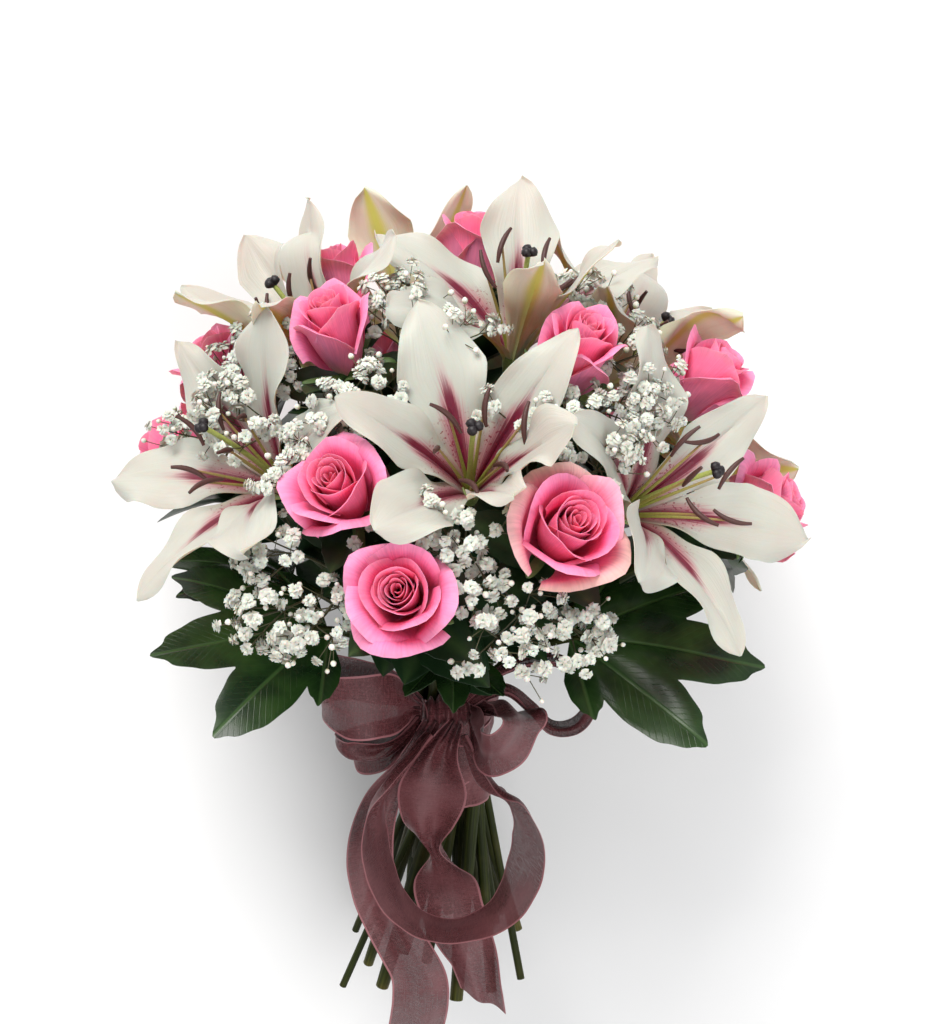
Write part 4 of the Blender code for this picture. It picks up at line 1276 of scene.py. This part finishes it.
# Where the frame has the bouquet: the right tail's box, against its own box with the tie at the origin
points, widths, width_shares = unpacked(TAIL_RIGHT)
edges = []
for middle, place in zip(spline_points(points, 14), np.linspace(0, len(points) - 1, 14)):
    i = min(int(place), len(points) - 2)
    t = place - i
    wide = widths[i].lerp(widths[i + 1], t).normalized()
    share = width_shares[i] * (1 - t) + width_shares[i + 1] * t
    edges += [TURN @ (middle + wide * RIBBON_WIDTH * share / 2 * side) for side in (-1, 1)]
low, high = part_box("ribbon_tail_right")
TIE = Vector([(low[k] + high[k] - min(e[k] for e in edges) - max(e[k] for e in edges)) / 2
              for k in range(3)])

blooms = list(roses.values())
rose_paths = {}
for key, (centre, axis, radius) in roses.items():
    rose(key, centre, axis, radius)
    seat = centre - axis * (ROSE_HEIGHT * SEAT_SHARE + GAP)
    rose_paths[key] = stem_path(next(at_waist), ROSES[key][4], seat, axis)
    stalk = stem(rose_paths[key], ROSE_STEM_RADIUS, int(key))
    make(f"rose_stalk_{key}", "stem_green", stalk, STEM_SKIN, nodes=[f"rose_stem_{key}"], press=False)
for key, (throat, axis) in throats.items():
    lily(key, throat, axis, LILIES[key][5], blooms)
for key, ((main, *others), below) in LILY_STEMS.items():
    throat, axis = throats[main]
    path = stem_path(next(at_waist), below, throat - axis * GAP, axis)
    stalk = stem(path, LILY_STEM_RADIUS, 40 + int(key))
    for flower in others:
        throat, axis = throats[flower]
        start = path[FORK_STOP]
        leaving = (path[FORK_STOP + 3] - start).normalized()
        reach = (throat - start).length
        fork = hermite(start, leaving * reach * 0.5, throat - axis * NECK, axis * reach * 0.7, 14)
        stalk.tube([start, *fork, throat - axis * GAP], [0.0030] + [0.0034] * 15, 14)
    make(f"lily_stalk_{key}", "stem_green", stalk, STEM_SKIN, nodes=[f"lily_stem_{key}"], press=False)
for key, (_, _, _, azimuth, tilt, roll, size, below) in LEAVES.items():
    leaf(key, roots[key], azimuth, tilt, roll, size, next(at_waist), below)

# What the small leaves and the florets keep clear of, in the bouquet's own frame
solid_points, solid_faces = [], []
for name in pressed:
    mesh = bpy.data.objects[name].data
    if name.startswith(("rose_petals", "lily_tepals", "leaf_blade")):
        first = len(solid_points)
        solid_points += [v.co.copy() for v in mesh.vertices]
        solid_faces += [[first + v for v in p.vertices] for p in mesh.polygons]
back = TURN.transposed()
obstacles = BVHTree.FromPolygons([back @ (p - TIE) for p in solid_points], solid_faces)
for key, path in rose_paths.items():
    leaflets(key, path, obstacles)
for key, (_, clusters, below) in SPRIGS.items():
    sprig(key, forks[key], clusters, next(at_waist), below, obstacles)

strip("ribbon_loop_left", "ribbon_bow_left", BOW_LEFT, 90, 1)
strip("ribbon_loop_left_low", "ribbon_bow_left_low", BOW_LEFT_LOW, 80, 2)
strip("ribbon_loop_right", "ribbon_bow_right", BOW_RIGHT, 80, 3)
strip("ribbon_ring_right", "ribbon_side_loop", SIDE_LOOP, 110, 4)
strip("ribbon_loop_hanging", "ribbon_hanging_loop", HANGING_LOOP, 130, 5)
strip("ribbon_end_left", "ribbon_tail_left", TAIL_LEFT, 100, 6, -0.5)
strip("ribbon_end_right", "ribbon_tail_right", TAIL_RIGHT, 90, 7, 0.9)
radii = [radius for radius, _ in climbing]
wrap("ribbon_wrap_low", waists, radii, -0.0205, 0.032, 0.10, 0.0007, 1, ["ribbon_band"])
wrap("ribbon_wrap_middle", waists, radii, 0.0015, 0.036, -0.12, 0.0012, 2)
wrap("ribbon_wrap_top", waists, radii, 0.0215, 0.030, 0.06, 0.0017, 3)
knot()

# The flowers that lie on the table give way, as their solids do
lowest = min(v.co.z for name in pressed for v in bpy.data.objects[name].data.vertices)
deepest = exp((lowest - GIVE) / GIVE)
for name in pressed:
    for vertex in bpy.data.objects[name].data.vertices:
        if vertex.co.z < GIVE:
            squeezed = (exp((vertex.co.z - GIVE) / GIVE) - deepest) / (1 - deepest)
            vertex.co.z = GIVE * squeezed + FLOOR_GAP

# Table, light and camera
table = Paint("table_top", Roughness=0.85, Specular_IOR_Level=0.2)
table.colour(table.mix(table.cloud(6, 2).step(0.3, 0.7), (0.80, 0.80, 0.80), (0.84, 0.84, 0.84)))
floor_mesh = bpy.data.meshes.new("table")
floor_mesh.from_pydata([(-6, -6, 0), (6, -6, 0), (6, 6, 0), (-6, 6, 0)], [], [(0, 1, 2, 3)])
floor_mesh.materials.append(table.material)
floor = bpy.data.objects.new("table", floor_mesh)
bpy.context.scene.collection.objects.link(floor)


def area_light(name, place, target, size, power, colour=(1, 1, 1)):
    light = bpy.data.lights.new(name, "AREA")
    light.shape = "DISK"
    light.size = size
    light.energy = power
    light.color = colour
    obj = bpy.data.objects.new(name, light)
    obj.location = place
    obj.rotation_euler = (Vector(target) - Vector(place)).to_track_quat("-Z", "Y").to_euler()
    bpy.context.scene.collection.objects.link(obj)


area_light("key_light", (-0.5, 1.5, 1.5), (0, 0.1, 0.1), size=1.3, power=46, colour=(1.0, 0.98, 0.95))
area_light("fill_light", (0.9, -0.9, 1.8), (0, 0, 0.1), size=2.4, power=29)
world = bpy.data.worlds.new("studio")
world.use_nodes = True
sky = world.node_tree.nodes["Background"]
sky.inputs["Color"].default_value = (0.98, 0.985, 1, 1)
sky.inputs["Strength"].default_value = 0.62
bpy.context.scene.world = world

# The camera looks at the front of the bouquet, from 25 degrees above its level, turned a little
look_up, roll = radians(90 - 25), radians(2.4)
eye = Vector((0.0062, -1.1762, 0.6937))
pose = TURN @ Matrix.Rotation(look_up, 3, "X") @ Matrix.Rotation(roll, 3, "Z")
pose = pose.to_4x4()
pose.translation = lying(eye)
camera = bpy.data.objects.new("camera", bpy.data.cameras.new("camera"))
camera.data.sensor_fit = "VERTICAL"
camera.data.sensor_height = 36
camera.data.lens = 81.5
camera.matrix_world = pose
bpy.context.scene.collection.objects.link(camera)
bpy.context.scene.camera = camera
bpy.context.scene.view_settings.view_transform = "Standard"
